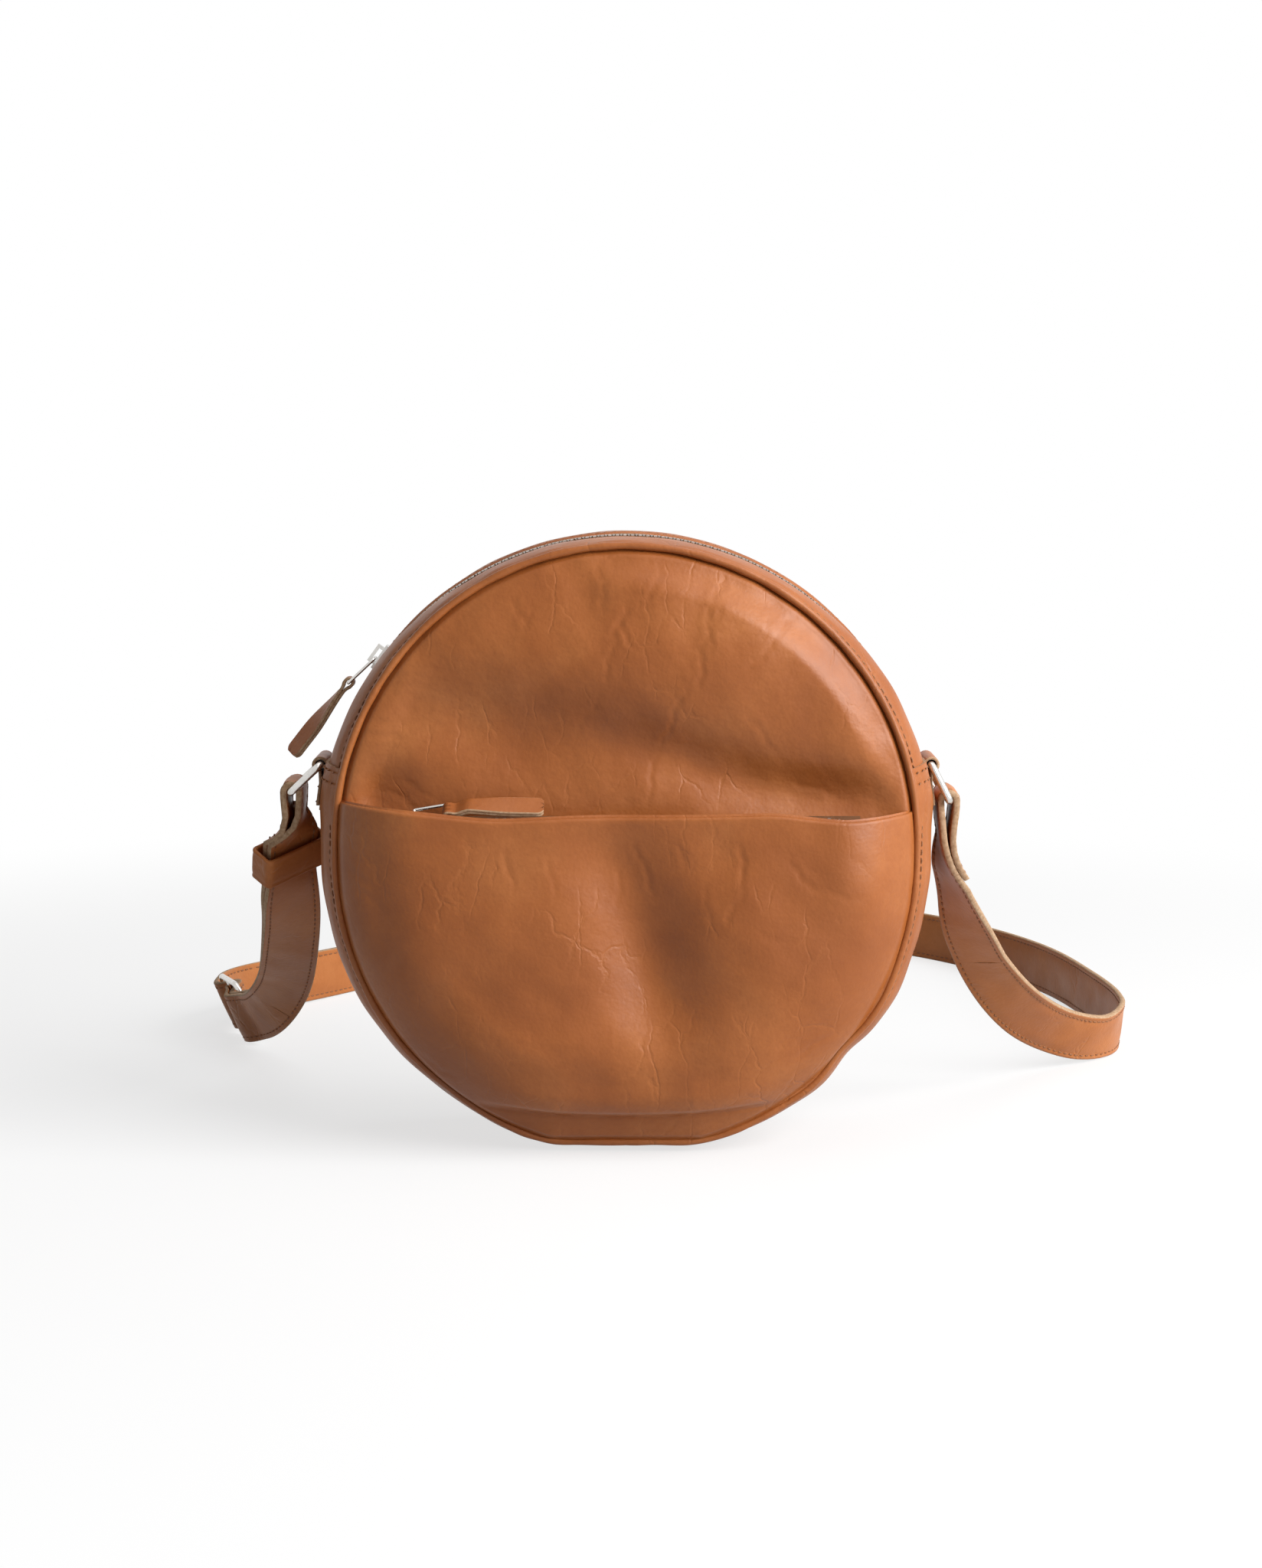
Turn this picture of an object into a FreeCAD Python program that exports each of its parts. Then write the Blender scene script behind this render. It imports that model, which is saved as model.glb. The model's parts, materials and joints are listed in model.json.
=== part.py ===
import FreeCAD
import Part
import math
import os

import Sketcher

V = FreeCAD.Vector
doc = FreeCAD.newDocument("circle_bag")

# Driving sizes in millimetres and degrees. Origin: bottom centre, front of the bag towards -Y.
SIZES = {
    # round gusset and its outline
    "gusset_radius": 121,
    "gusset_flat_half": 16,
    "seam_half": 31,
    "seam_drop": 5,
    "leather": 1.6,
    "base_sag": 4,
    "side_run": 6,
    "base_corner": 60,
    "gusset_split_angle": 10.5,
    "seam_gap": 0.3,
    # round panels
    "rim_width": 6,
    "panel_flatness": 3000,
    "shoulder_radius": 32,
    "front_crown": 5,
    "back_crown": 9,
    "pocket_crown": 19,
    "pocket_top": 134,
    "piping_radius": 1.5,
    # lining
    "lining_cloth": 0.6,
    "lining_gap": 0.4,
    # zip chains
    "zip_window": 9,
    "tape_cloth": 0.6,
    "tape_gap": 0.2,
    "tape_half": 14,
    "tooth_pitch": 3,
    "tooth_width": 1.26,
    "tooth_height": 2.4,
    "tooth_root": 2.9,
    "tooth_reach": 1,
    "tooth_nose": 0.5,
    "stop_length": 3,
    "main_zip_end_angle": 20,
    "main_zip_short_angle": 36,
    "main_tape_run": 6,
    "pocket_zip_out": 12.4,
    "pocket_zip_below": 1.7,
    "pocket_zip_angle": 30,
    "pocket_zip_left": 37,
    "pocket_zip_right": 39,
    "pocket_tape_half": 5.4,
    "pocket_tape_run": 9.2,
    # zip sliders
    "slider_length": 11,
    "slider_width": 8.4,
    "slider_tail": 7.2,
    "slider_plate": 1.4,
    "slider_gap": 0.3,
    "slider_flange": 0.6,
    "slider_slot": 1.4,
    "slider_post": 2.6,
    "bridge_length": 8,
    "bridge_width": 2.2,
    "bridge_wall": 1.3,
    # pull links and leather pulls
    "link_wire": 1.3,
    "link_inner": 8,
    "link_length": 14,
    "link_corner": 1,
    "main_link_angle": 11,
    "main_pull_angle": 7,
    "pocket_link_angle": 12,
    "pull_leather": 1.4,
    "pull_width": 7.2,
    "pull_length": 41,
    "pull_point": 5,
    "pull_play": 0.3,
    # ring tabs and rings
    "tab_width": 24,
    "tab_layers": 2.4,
    "tab_low_angle": 6.2,
    "tab_tube_angle": 13.5,
    "ring_wire": 3,
    "ring_inner": 26,
    "ring_length": 16,
    "ring_corner": 2.2,
    "ring_play": 0.4,
    "ring_left_angle": 47,
    "ring_right_angle": 27,
    # shoulder strap, buckle and keeper
    "strap_width": 24,
    "strap_leather": 2.5,
    "strap_skived": 1.2,
    "strap_play": 0.3,
    "strap_tab": 30,
    "buckle_wire": 2.6,
    "buckle_reach": 14,
    "buckle_inner": 26,
    "buckle_corner": 4,
    "keeper_leather": 1.6,
    "keeper_height": 14,
    "keeper_play": 0.8,
}

sheet = doc.addObject("Spreadsheet::Sheet", "sizes")
for row, (alias, number) in enumerate(SIZES.items(), start=1):
    sheet.set("A%d" % row, alias)
    sheet.set("B%d" % row, str(number))
    sheet.setAlias("B%d" % row, alias)
doc.recompute()


class Dim:
    """A size together with the expression that reads it from the sheet."""

    def __init__(self, value, text):
        self.value = value
        self.text = text

    def __add__(self, other):
        return pair(self, other, "+", lambda a, b: a + b)

    def __radd__(self, other):
        return pair(other, self, "+", lambda a, b: a + b)

    def __sub__(self, other):
        return pair(self, other, "-", lambda a, b: a - b)

    def __rsub__(self, other):
        return pair(other, self, "-", lambda a, b: a - b)

    def __mul__(self, other):
        return pair(self, other, "*", lambda a, b: a * b)

    def __rmul__(self, other):
        return pair(other, self, "*", lambda a, b: a * b)

    def __truediv__(self, other):
        return pair(self, other, "/", lambda a, b: a / b)

    def __neg__(self):
        return Dim(-self.value, "(0 - %s)" % self.text)

    def __float__(self):
        return self.value


def as_dim(number):
    return number if isinstance(number, Dim) else Dim(float(number), "%.9g" % number)


def pair(first, second, sign, rule):
    first = as_dim(first)
    second = as_dim(second)
    return Dim(rule(first.value, second.value), "(%s %s %s)" % (first.text, sign, second.text))


def root(number):
    return Dim(math.sqrt(number.value), "sqrt(%s)" % number.text)


def sine(angle):
    return Dim(math.sin(math.radians(angle.value)), "sin(%s)" % angle.text)


def cosine(angle):
    return Dim(math.cos(math.radians(angle.value)), "cos(%s)" % angle.text)


def size(alias):
    return Dim(float(sheet.get(alias)), "sizes." + alias)


layout = doc.addObject("Spreadsheet::Sheet", "layout")
layout_rows = []


def derived(alias, number):
    """Keep a worked-out size in the second sheet under its own name."""
    layout_rows.append(alias)
    cell = "B%d" % len(layout_rows)
    layout.set("A%d" % len(layout_rows), alias)
    layout.set(cell, "=" + number.text.replace("sizes.", "<<sizes>>."))
    layout.setAlias(cell, alias)
    return Dim(number.value, "layout." + alias)


def bind(target, prop, number):
    target.setExpression(prop, as_dim(number).text)


# Worked-out places of the outline and the seams
gusset_radius = size("gusset_radius")
leather = size("leather")
seam_half = size("seam_half")
lower_centre = derived("lower_centre", gusset_radius - size("base_sag"))
upper_centre = derived("upper_centre", lower_centre + size("side_run"))
panel_centre = derived("panel_centre", (lower_centre + upper_centre) / 2)
corner_centre = gusset_radius - size("base_corner")
corner_height = lower_centre - size("base_corner")
base_half = derived("base_half", root(corner_centre * corner_centre - corner_height * corner_height))
shoulder_run = seam_half - size("gusset_flat_half")
gusset_shoulder = derived(
    "gusset_shoulder",
    (shoulder_run * shoulder_run + size("seam_drop") * size("seam_drop")) / (2 * size("seam_drop")))
tape_radius = derived(
    "tape_radius",
    gusset_radius - leather - size("tape_gap") - size("tape_cloth") / 2)
main_zip_rest = derived("main_zip_rest", 180 - size("main_zip_short_angle"))
pocket_zip_rest = derived("pocket_zip_rest", size("pocket_zip_left") - gusset_radius)
pocket_zip_end = derived("pocket_zip_end", gusset_radius - size("pocket_zip_right"))
pocket_zip_y = derived("pocket_zip_y", -(seam_half + size("pocket_zip_out")))
bridge_height = derived(
    "bridge_height",
    size("tooth_height") / 2 + size("slider_gap") + size("slider_plate"))
link_seat = derived(
    "link_seat",
    bridge_height + size("slider_gap") / 2 + size("link_wire") / 2)


def origin_plane(body, role):
    return next(feature for feature in body.Origin.OriginFeatures if feature.Role == role)


def new_body(name):
    body = doc.addObject("PartDesign::Body", name)
    body.Label = name
    return body


def new_sketch(body, name, role, raised=None):
    """A sketch on an origin plane of its body, moved along the plane's own upright by a size."""
    sketch = body.newObject("Sketcher::SketchObject", body.Name + "_" + name)
    sketch.AttachmentSupport = [(origin_plane(body, role), "")]
    sketch.MapMode = "FlatFace"
    if raised is not None:
        sketch.AttachmentOffset = FreeCAD.Placement(V(0, float(raised), 0), FreeCAD.Rotation())
        bind(sketch, "AttachmentOffset.Base.y", raised)
    return sketch


def lift_sketch(sketch, height):
    """Move a sketch off its plane along the plane's normal."""
    sketch.AttachmentOffset = FreeCAD.Placement(V(0, 0, float(height)), FreeCAD.Rotation())
    bind(sketch, "AttachmentOffset.Base.z", height)


def pin(sketch, geometry, point, axis, number):
    """Hold one coordinate of a point at a bound size."""
    number = as_dim(number)
    kind = "DistanceX" if axis == "x" else "DistanceY"
    if number.value == 0 and number.text == "0":
        line = -2 if axis == "x" else -1
        sketch.addConstraint(Sketcher.Constraint("PointOnObject", geometry, point, line))
        return
    index = sketch.addConstraint(Sketcher.Constraint(kind, -1, 1, geometry, point, number.value))
    sketch.setExpression("Constraints[%d]" % index, number.text)


def flat(corner):
    return V(float(corner[0]), float(corner[1]), 0)


def draw_path(sketch, corners, arcs=None, closed=True):
    """Draw edges through bound corners. arcs maps a corner's index to the radius of the edge that
    leaves it: a positive radius turns left along the path, a negative one turns right."""
    arcs = arcs or {}
    count = len(corners) if closed else len(corners) - 1
    ends = []
    for index in range(count):
        start = flat(corners[index])
        stop = flat(corners[(index + 1) % len(corners)])
        if index not in arcs:
            edge = sketch.addGeometry(Part.LineSegment(start, stop))
            ends.append((edge, 1, 2))
            continue
        radius = arcs[index]
        reach = abs(float(radius))
        turn = 1 if float(radius) > 0 else -1
        chord = stop - start
        depth = math.sqrt(max(reach ** 2 - (chord.Length / 2) ** 2, 0))
        side = V(-chord.y, chord.x, 0).normalize() * (depth * turn)
        centre = start + chord * 0.5 + side
        first, last = (start, stop) if turn > 0 else (stop, start)
        begin = math.atan2(first.y - centre.y, first.x - centre.x)
        finish = math.atan2(last.y - centre.y, last.x - centre.x)
        if finish < begin:
            finish += 2 * math.pi
        edge = sketch.addGeometry(Part.ArcOfCircle(Part.Circle(centre, V(0, 0, 1), reach), begin, finish))
        ends.append((edge, 1, 2) if turn > 0 else (edge, 2, 1))
        number = radius if turn > 0 else -radius
        index = sketch.addConstraint(Sketcher.Constraint("Radius", edge, reach))
        sketch.setExpression("Constraints[%d]" % index, number.text)
    for index, (edge, start, stop) in enumerate(ends):
        pin(sketch, edge, start, "x", corners[index][0])
        pin(sketch, edge, start, "y", corners[index][1])
        if index + 1 < len(ends) or closed:
            other = ends[(index + 1) % len(ends)]
            sketch.addConstraint(Sketcher.Constraint("Coincident", edge, stop, other[0], other[1]))
        else:
            pin(sketch, edge, stop, "x", corners[-1][0])
            pin(sketch, edge, stop, "y", corners[-1][1])


def draw_circle(sketch, across, along, radius):
    edge = sketch.addGeometry(Part.Circle(V(float(across), float(along), 0), V(0, 0, 1), float(radius)))
    pin(sketch, edge, 3, "x", across)
    pin(sketch, edge, 3, "y", along)
    index = sketch.addConstraint(Sketcher.Constraint("Radius", edge, float(radius)))
    sketch.setExpression("Constraints[%d]" % index, radius.text)


def pad(body, sketch, length, symmetric=False):
    feature = body.newObject("PartDesign::Pad", sketch.Name + "_pad")
    feature.Profile = sketch
    feature.SideType = "Symmetric" if symmetric else "One side"
    bind(feature, "Length", length)
    return feature


def pocket_through(body, sketch):
    """Cut right through the body on both sides of the sketch."""
    feature = body.newObject("PartDesign::Pocket", sketch.Name + "_pocket")
    feature.Profile = sketch
    feature.SideType = "Symmetric"
    feature.Type = "ThroughAll"
    return feature


def revolve(body, sketch, angle=360, symmetric=False):
    """Turn a sketch about its own horizontal axis."""
    feature = body.newObject("PartDesign::Revolution", sketch.Name + "_turn")
    feature.Profile = sketch
    feature.ReferenceAxis = (sketch, ["H_Axis"])
    feature.Midplane = symmetric
    bind(feature, "Angle", angle)
    return feature


def pipe(body, profile, spine):
    feature = body.newObject("PartDesign::AdditivePipe", profile.Name + "_pipe")
    feature.Profile = profile
    feature.Spine = (spine, [])
    return feature


def mirrored(source, name, normal):
    copy = doc.addObject("Part::Mirroring", name)
    copy.Label = name
    copy.Source = source
    copy.Base = V(0, 0, 0)
    copy.Normal = normal
    return copy


def common(name, base, tool):
    shared = doc.addObject("Part::Common", name)
    shared.Label = name
    shared.Base = base
    shared.Tool = tool
    return shared


def cut(name, base, tool):
    left = doc.addObject("Part::Cut", name)
    left.Label = name
    left.Base = base
    left.Tool = tool
    return left


def fuse(name, first, second):
    whole = doc.addObject("Part::Fuse", name)
    whole.Label = name
    whole.Base = first
    whole.Tool = second
    return whole


def half_outline(inset):
    """Corners and arcs of the bag's outline from the base's right end up to the top."""
    scale = (gusset_radius - inset) / corner_centre
    join = (base_half * scale, lower_centre - corner_height * scale)
    corners = [
        (base_half, as_dim(inset)),
        join,
        (gusset_radius - inset, lower_centre),
        (gusset_radius - inset, upper_centre),
    ]
    radii = {0: size("base_corner") - inset, 1: gusset_radius - inset}
    return corners, radii


def draw_outline(sketch, inset):
    """The whole closed outline of the bag, set in from the gusset's outer face."""
    right, radii = half_outline(inset)
    top = (as_dim(0), upper_centre + gusset_radius - inset)
    left = [(-across, height) for across, height in reversed(right)]
    corners = right + [top] + left
    arcs = dict(radii)
    arcs[3] = gusset_radius - inset
    arcs[4] = gusset_radius - inset
    arcs[6] = gusset_radius - inset
    arcs[7] = size("base_corner") - inset
    draw_path(sketch, corners, arcs)


def outline_block(name, inset, depth):
    """A prism of the bag's outline, used to trim the round panels."""
    body = new_body(name)
    sketch = new_sketch(body, "outline", "XZ_Plane")
    draw_outline(sketch, inset)
    pad(body, sketch, depth, symmetric=True)
    return body


def draw_gusset_spine(sketch):
    """From the middle of the base round the right side up to the gusset's upper end."""
    corners, arcs = half_outline(as_dim(0))
    split = size("gusset_split_angle")
    corners = [(as_dim(0), as_dim(0))] + corners
    corners.append((gusset_radius * cosine(split), upper_centre + gusset_radius * sine(split)))
    arcs = {1: arcs[0], 2: arcs[1], 4: gusset_radius}
    draw_path(sketch, corners, arcs, closed=False)


def gusset_section(inset, thick, half):
    """Section of a band that follows the gusset: level in the middle, falling away to the seams."""
    level = size("gusset_flat_half")
    outer = gusset_shoulder - inset
    inner = outer - thick
    run = half - level
    outer_fall = gusset_shoulder - root(outer * outer - run * run)
    inner_fall = gusset_shoulder - root(inner * inner - run * run)
    corners = [
        (-level, inset + as_dim(0)),
        (level, inset + as_dim(0)),
        (half, outer_fall),
        (half, inner_fall),
        (level, inset + thick),
        (-level, inset + thick),
        (-half, inner_fall),
        (-half, outer_fall),
    ]
    return corners, {1: outer, 3: -inner, 5: -inner, 7: outer}


def lower_band(name, inset, thick, half):
    body = new_body(name)
    spine = new_sketch(body, "spine", "XZ_Plane")
    draw_gusset_spine(spine)
    section = new_sketch(body, "section", "YZ_Plane")
    corners, arcs = gusset_section(as_dim(inset), thick, half)
    draw_path(section, corners, arcs)
    pipe(body, section, spine)
    return body


def build_gusset():
    right = lower_band("gusset_lower_right", 0, leather, seam_half)
    left = mirrored(right, "gusset_lower_left", V(1, 0, 0))
    front = new_body("gusset_top_front")
    section = new_sketch(front, "section", "YZ_Plane", upper_centre)
    window = size("zip_window") / 2
    level = size("gusset_flat_half")
    inner = gusset_shoulder - leather
    inner_fall = gusset_shoulder - root(inner * inner - shoulder_run * shoulder_run)
    corners = [
        (-window, gusset_radius),
        (-level, gusset_radius),
        (-seam_half, gusset_radius - size("seam_drop")),
        (-seam_half, gusset_radius - inner_fall),
        (-level, gusset_radius - leather),
        (-window, gusset_radius - leather),
    ]
    draw_path(section, corners, {1: gusset_shoulder, 3: -inner})
    end_gap = size("seam_gap") / gusset_radius * (180 / math.pi)
    revolve(front, section, 180 - 2 * size("gusset_split_angle") - 2 * end_gap, symmetric=True)
    rear = mirrored(front, "gusset_top_rear", V(0, 1, 0))
    return [right, left, front, rear]


def crowned_disc(name, side, seat, crown, thick):
    """A round leather panel: flat seam rim, rounded shoulder and a gently crowned middle."""
    flatness = size("panel_flatness")
    shoulder = size("shoulder_radius")
    rim = gusset_radius - size("seam_drop") - size("rim_width")
    reach_y = flatness - crown
    span = derived(name + "_span", root(reach_y * reach_y + rim * rim))
    inner = flatness - shoulder
    along = derived(name + "_along", (span * span + inner * inner - shoulder * shoulder) / (2 * span))
    aside = derived(name + "_aside", root(inner * inner - along * along))
    crown_y = seat + crown - flatness
    turn_y = derived(name + "_turn_y", crown_y + (along * reach_y + aside * rim) / span)
    turn_r = derived(name + "_turn_r", (along * rim - aside * reach_y) / span)
    meet_in = flatness / inner
    meet_out = (flatness + thick) / inner
    drop = seat + thick - turn_y
    outer_shoulder = shoulder + thick
    rim_out = turn_r + root(outer_shoulder * outer_shoulder - drop * drop)
    edge = gusset_radius + size("side_run")
    corners = [
        (seat, edge),
        (seat, rim),
        (crown_y + (turn_y - crown_y) * meet_in, turn_r * meet_in),
        (seat + crown, as_dim(0)),
        (seat + crown + thick, as_dim(0)),
        (crown_y + (turn_y - crown_y) * meet_out, turn_r * meet_out),
        (seat + thick, rim_out),
        (seat + thick, edge),
    ]
    arcs = {1: -shoulder, 2: -flatness, 4: flatness + thick, 5: outer_shoulder}
    if side < 0:
        corners = [(-across, height) for across, height in corners]
        arcs = {index: -radius for index, radius in arcs.items()}
    body = new_body(name + "_disc")
    sketch = new_sketch(body, "section", "YZ_Plane", panel_centre)
    draw_path(sketch, corners, arcs)
    revolve(body, sketch)
    return body


def build_panels():
    depth = 2 * (seam_half + size("pocket_crown") + size("back_crown") + 4 * leather)
    trim = outline_block("panel_outline", size("seam_drop") + size("seam_gap"), depth)
    front = common(
        "front_panel",
        crowned_disc("front_panel", -1, seam_half, size("front_crown"), leather), trim)
    back = common(
        "back_panel",
        crowned_disc("back_panel", 1, seam_half, size("back_crown"), leather), trim)
    pocket_seat = seam_half + leather + size("seam_gap")
    whole = common(
        "pocket_whole",
        crowned_disc("front_pocket_panel", -1, pocket_seat, size("pocket_crown"), leather), trim)
    above = doc.addObject("Part::Box", "above_pocket")
    bind(above, "Length", 4 * gusset_radius)
    bind(above, "Width", 2 * depth)
    bind(above, "Height", 2 * gusset_radius)
    bind(above, "Placement.Base.x", -2 * gusset_radius)
    bind(above, "Placement.Base.y", -depth)
    bind(above, "Placement.Base.z", size("pocket_top"))
    pocket = cut("front_pocket_panel", whole, above)
    return [front, back, pocket]


def build_piping():
    front = new_body("front_piping")
    spine = new_sketch(front, "spine", "XZ_Plane")
    reach = size("piping_radius") + size("seam_gap")
    inset = size("seam_drop") - reach * cosine(as_dim(45))
    out = seam_half + reach * sine(as_dim(45))
    draw_outline(spine, inset)
    lift_sketch(spine, out)
    section = new_sketch(front, "section", "YZ_Plane")
    draw_circle(section, -out, inset, size("piping_radius"))
    pipe(front, section, spine)
    rear = mirrored(front, "rear_piping", V(0, 1, 0))
    return [front, rear]


def build_lining():
    cloth = size("lining_cloth")
    gap = size("lining_gap")
    inset = size("seam_drop") + 2 * leather
    front = new_body("lining_front")
    sketch = new_sketch(front, "outline", "XZ_Plane")
    draw_outline(sketch, inset)
    lift_sketch(sketch, seam_half - gap - cloth)
    pad(front, sketch, cloth)
    back = mirrored(front, "lining_back", V(0, 1, 0))
    half = seam_half - 2 * gap - 2 * cloth
    right = lower_band("lining_gusset_right", leather + gap, cloth, half)
    left = mirrored(right, "lining_gusset_left", V(1, 0, 0))
    gusset = fuse("lining_gusset", right, left)
    return [front, back, gusset]


def tooth(side):
    """One zip tooth in its own frame: X along the chain, Y across it, Z through it."""
    half = float(size("tooth_width")) / 2
    height = float(size("tooth_height"))
    reach = float(size("tooth_reach"))
    shoulder = reach - float(size("tooth_nose"))
    foot = -float(size("tooth_root"))
    outline = [
        (-half, foot), (half, foot), (half, shoulder),
        (half / 2, reach), (-half / 2, reach), (-half, shoulder),
    ]
    corners = [V(along, -side * across, -height / 2) for along, across in outline]
    return Part.Face(Part.makePolygon(corners + corners[:1])).extrude(V(0, 0, height))


def at_places(solid, places):
    copies = []
    for place in places:
        copy = solid.copy()
        copy.Placement = place
        copies.append(copy)
    return copies


def shape_feature(name, shape):
    feature = doc.addObject("Part::Feature", name)
    feature.Label = name
    feature.Shape = shape
    return feature


def on_gusset(angle, radius):
    """A frame on the round gusset: X towards the left end of the zip, Z outwards."""
    turn = math.radians(angle)
    outward = V(math.cos(turn), 0, math.sin(turn))
    along = V(-math.sin(turn), 0, math.cos(turn))
    across = outward.cross(along)
    place = outward * radius + V(0, 0, float(upper_centre))
    return FreeCAD.Placement(place, FreeCAD.Rotation(along, across, outward, "ZXY"))


def on_pocket(along_x):
    """A frame on the pocket's zip: X towards the left end, Z out of the tilted zip."""
    tilt = math.radians(float(size("pocket_zip_angle")))
    outward = V(0, -math.sin(tilt), math.cos(tilt))
    along = V(-1, 0, 0)
    across = outward.cross(along)
    height = float(size("pocket_top")) - float(size("pocket_zip_below"))
    place = V(along_x, float(pocket_zip_y), height)
    return FreeCAD.Placement(place, FreeCAD.Rotation(along, across, outward, "ZXY"))


def build_main_zip():
    radius = float(tape_radius)
    step = math.degrees(float(size("tooth_pitch")) / radius)
    first = float(size("main_zip_end_angle")) + math.degrees(float(size("stop_length")) / radius)
    count = int((float(main_zip_rest) - first) / step)
    rear_places = [on_gusset(first + step * index, radius) for index in range(count)]
    front_places = [on_gusset(first + step * (index + 0.5), radius) for index in range(count)]
    rear_teeth = shape_feature(
        "main_zip_teeth_rear", Part.makeCompound(at_places(tooth(-1), rear_places)))
    front_teeth = shape_feature(
        "main_zip_teeth_front", Part.makeCompound(at_places(tooth(1), front_places)))

    front_tape = new_body("main_zip_tape_front")
    section = new_sketch(front_tape, "section", "YZ_Plane", upper_centre)
    inner = tape_radius - size("tape_cloth") / 2
    outer = tape_radius + size("tape_cloth") / 2
    edge = size("tooth_root")
    far = size("tape_half")
    draw_path(section, [(-edge, inner), (-edge, outer), (-far, outer), (-far, inner)])
    tape_end = size("main_tape_run") / tape_radius * (180 / math.pi)
    sweep = 180 - 2 * size("main_zip_end_angle") + 2 * tape_end
    revolve(front_tape, section, sweep, symmetric=True)
    rear_tape = mirrored(front_tape, "main_zip_tape_rear", V(0, 1, 0))

    stop_turn = math.degrees(
        (float(size("slider_length")) + float(size("stop_length"))) / 2 / radius) + step / 4
    closed = on_gusset(float(main_zip_rest) + stop_turn, radius)
    opened = on_gusset(float(size("main_zip_end_angle")), radius)
    half = float(size("tooth_root")) - float(size("slider_gap")) / 2
    rear_stop = shape_feature("main_zip_stop_rear", stop_block(-half, -half / 2, closed))
    front_stop = shape_feature("main_zip_stop_front", stop_block(half / 2, half, closed))
    end_stop = shape_feature("main_zip_end_stop", stop_block(-half, half, opened))
    return [rear_teeth, front_teeth, front_tape, rear_tape, rear_stop, front_stop, end_stop]


def stop_block(low, high, place):
    """A metal stop crimped beside the tape, in the frame of the chain."""
    length = float(size("stop_length"))
    height = float(size("tooth_height"))
    block = Part.makeBox(length, high - low, height, V(-length / 2, low, -height / 2))
    rounded = block.makeFillet(float(size("tooth_nose")), block.Edges)
    rounded.Placement = place
    return rounded


def build_pocket_zip():
    pitch = float(size("tooth_pitch"))
    end = float(pocket_zip_end)
    rest = float(pocket_zip_rest)
    first = end - float(size("stop_length"))
    count = int((first - rest) / pitch)
    upper_places = [on_pocket(first - pitch * index) for index in range(count)]
    lower_places = [on_pocket(first - pitch * (index + 0.5)) for index in range(count)]
    upper_teeth = shape_feature(
        "pocket_zip_teeth_upper", Part.makeCompound(at_places(tooth(-1), upper_places)))
    lower_teeth = shape_feature(
        "pocket_zip_teeth_lower", Part.makeCompound(at_places(tooth(1), lower_places)))

    tapes = []
    for name, side in (("pocket_zip_tape_upper", -1), ("pocket_zip_tape_lower", 1)):
        tape = doc.addObject("Part::Box", name)
        tape.Label = name
        width = size("pocket_tape_half") - size("tooth_root")
        length = pocket_zip_end - pocket_zip_rest + 2 * size("pocket_tape_run")
        bind(tape, "Length", length)
        bind(tape, "Width", width)
        bind(tape, "Height", size("tape_cloth"))
        low = float(size("tooth_root")) if side > 0 else -float(size("pocket_tape_half"))
        corner = V(-end - float(size("pocket_tape_run")), low, -float(size("tape_cloth")) / 2)
        middle = on_pocket(0)
        tape.Placement = middle.multiply(FreeCAD.Placement(corner, FreeCAD.Rotation()))
        tapes.append(tape)

    half = float(size("tooth_root")) - float(size("slider_gap")) / 2
    shift = (float(size("slider_length")) + float(size("stop_length"))) / 2 + pitch / 4
    stops = shape_feature("pocket_zip_stops", Part.makeCompound([
        stop_block(-half, -half / 2, on_pocket(rest - shift)),
        stop_block(half / 2, half, on_pocket(rest - shift)),
        stop_block(-half, half, on_pocket(end)),
    ]))
    return [upper_teeth, lower_teeth] + tapes + [stops]


def rectangle(x_low, x_high, y_low, y_high):
    return [(x_low, y_low), (x_high, y_low), (x_high, y_high), (x_low, y_high)]


def block(body, name, corners, low, thick):
    """Pad an outline of the body's own XY plane from a height."""
    sketch = new_sketch(body, name, "XY_Plane")
    draw_path(sketch, [(as_dim(x), as_dim(y)) for x, y in corners])
    lift_sketch(sketch, as_dim(low))
    pad(body, sketch, as_dim(thick))


def slider_body(name):
    """A zip slider: two plates joined by a wedge post, edge flanges and a bridge for the link."""
    body = new_body(name)
    front = size("slider_length") / 2
    wide = size("slider_width") / 2
    tail = size("slider_tail") / 2
    mouth = size("tooth_height") / 2 + size("slider_gap")
    plate = size("slider_plate")
    post = size("slider_post")
    outline = [
        (-front, -tail), (front - post, -wide), (front, -wide / 2),
        (front, wide / 2), (front - post, wide), (-front, tail),
    ]
    block(body, "lower_plate", outline, -mouth - plate, plate)
    block(body, "post", [
        (front - 2 * post, as_dim(0)), (front - post, -post / 2),
        (front - post / 4, as_dim(0)), (front - post, post / 2)], -mouth, 2 * mouth)
    block(body, "upper_plate", outline, mouth, plate)
    flange = size("slider_flange")
    slot = size("slider_slot") / 2
    for label, low in (("upper", slot), ("lower", -mouth)):
        for hand, near in (("left", -tail), ("right", tail - flange)):
            strip = rectangle(-front, -front + 2 * post, near, near + flange)
            block(body, label + "_flange_" + hand, strip, low, mouth - slot)
    half = size("bridge_length") / 2
    wall = size("bridge_wall")
    width = size("bridge_width") / 2
    opening = size("link_wire") + size("slider_gap")
    top = mouth + plate
    block(body, "bridge_tail", rectangle(-half, -half + wall, -width, width), top, opening)
    block(body, "bridge_front", rectangle(half - wall, half, -width, width), top, opening)
    block(body, "bridge_top", rectangle(-half, half, -width, width), top + opening, wall)
    return body


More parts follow.
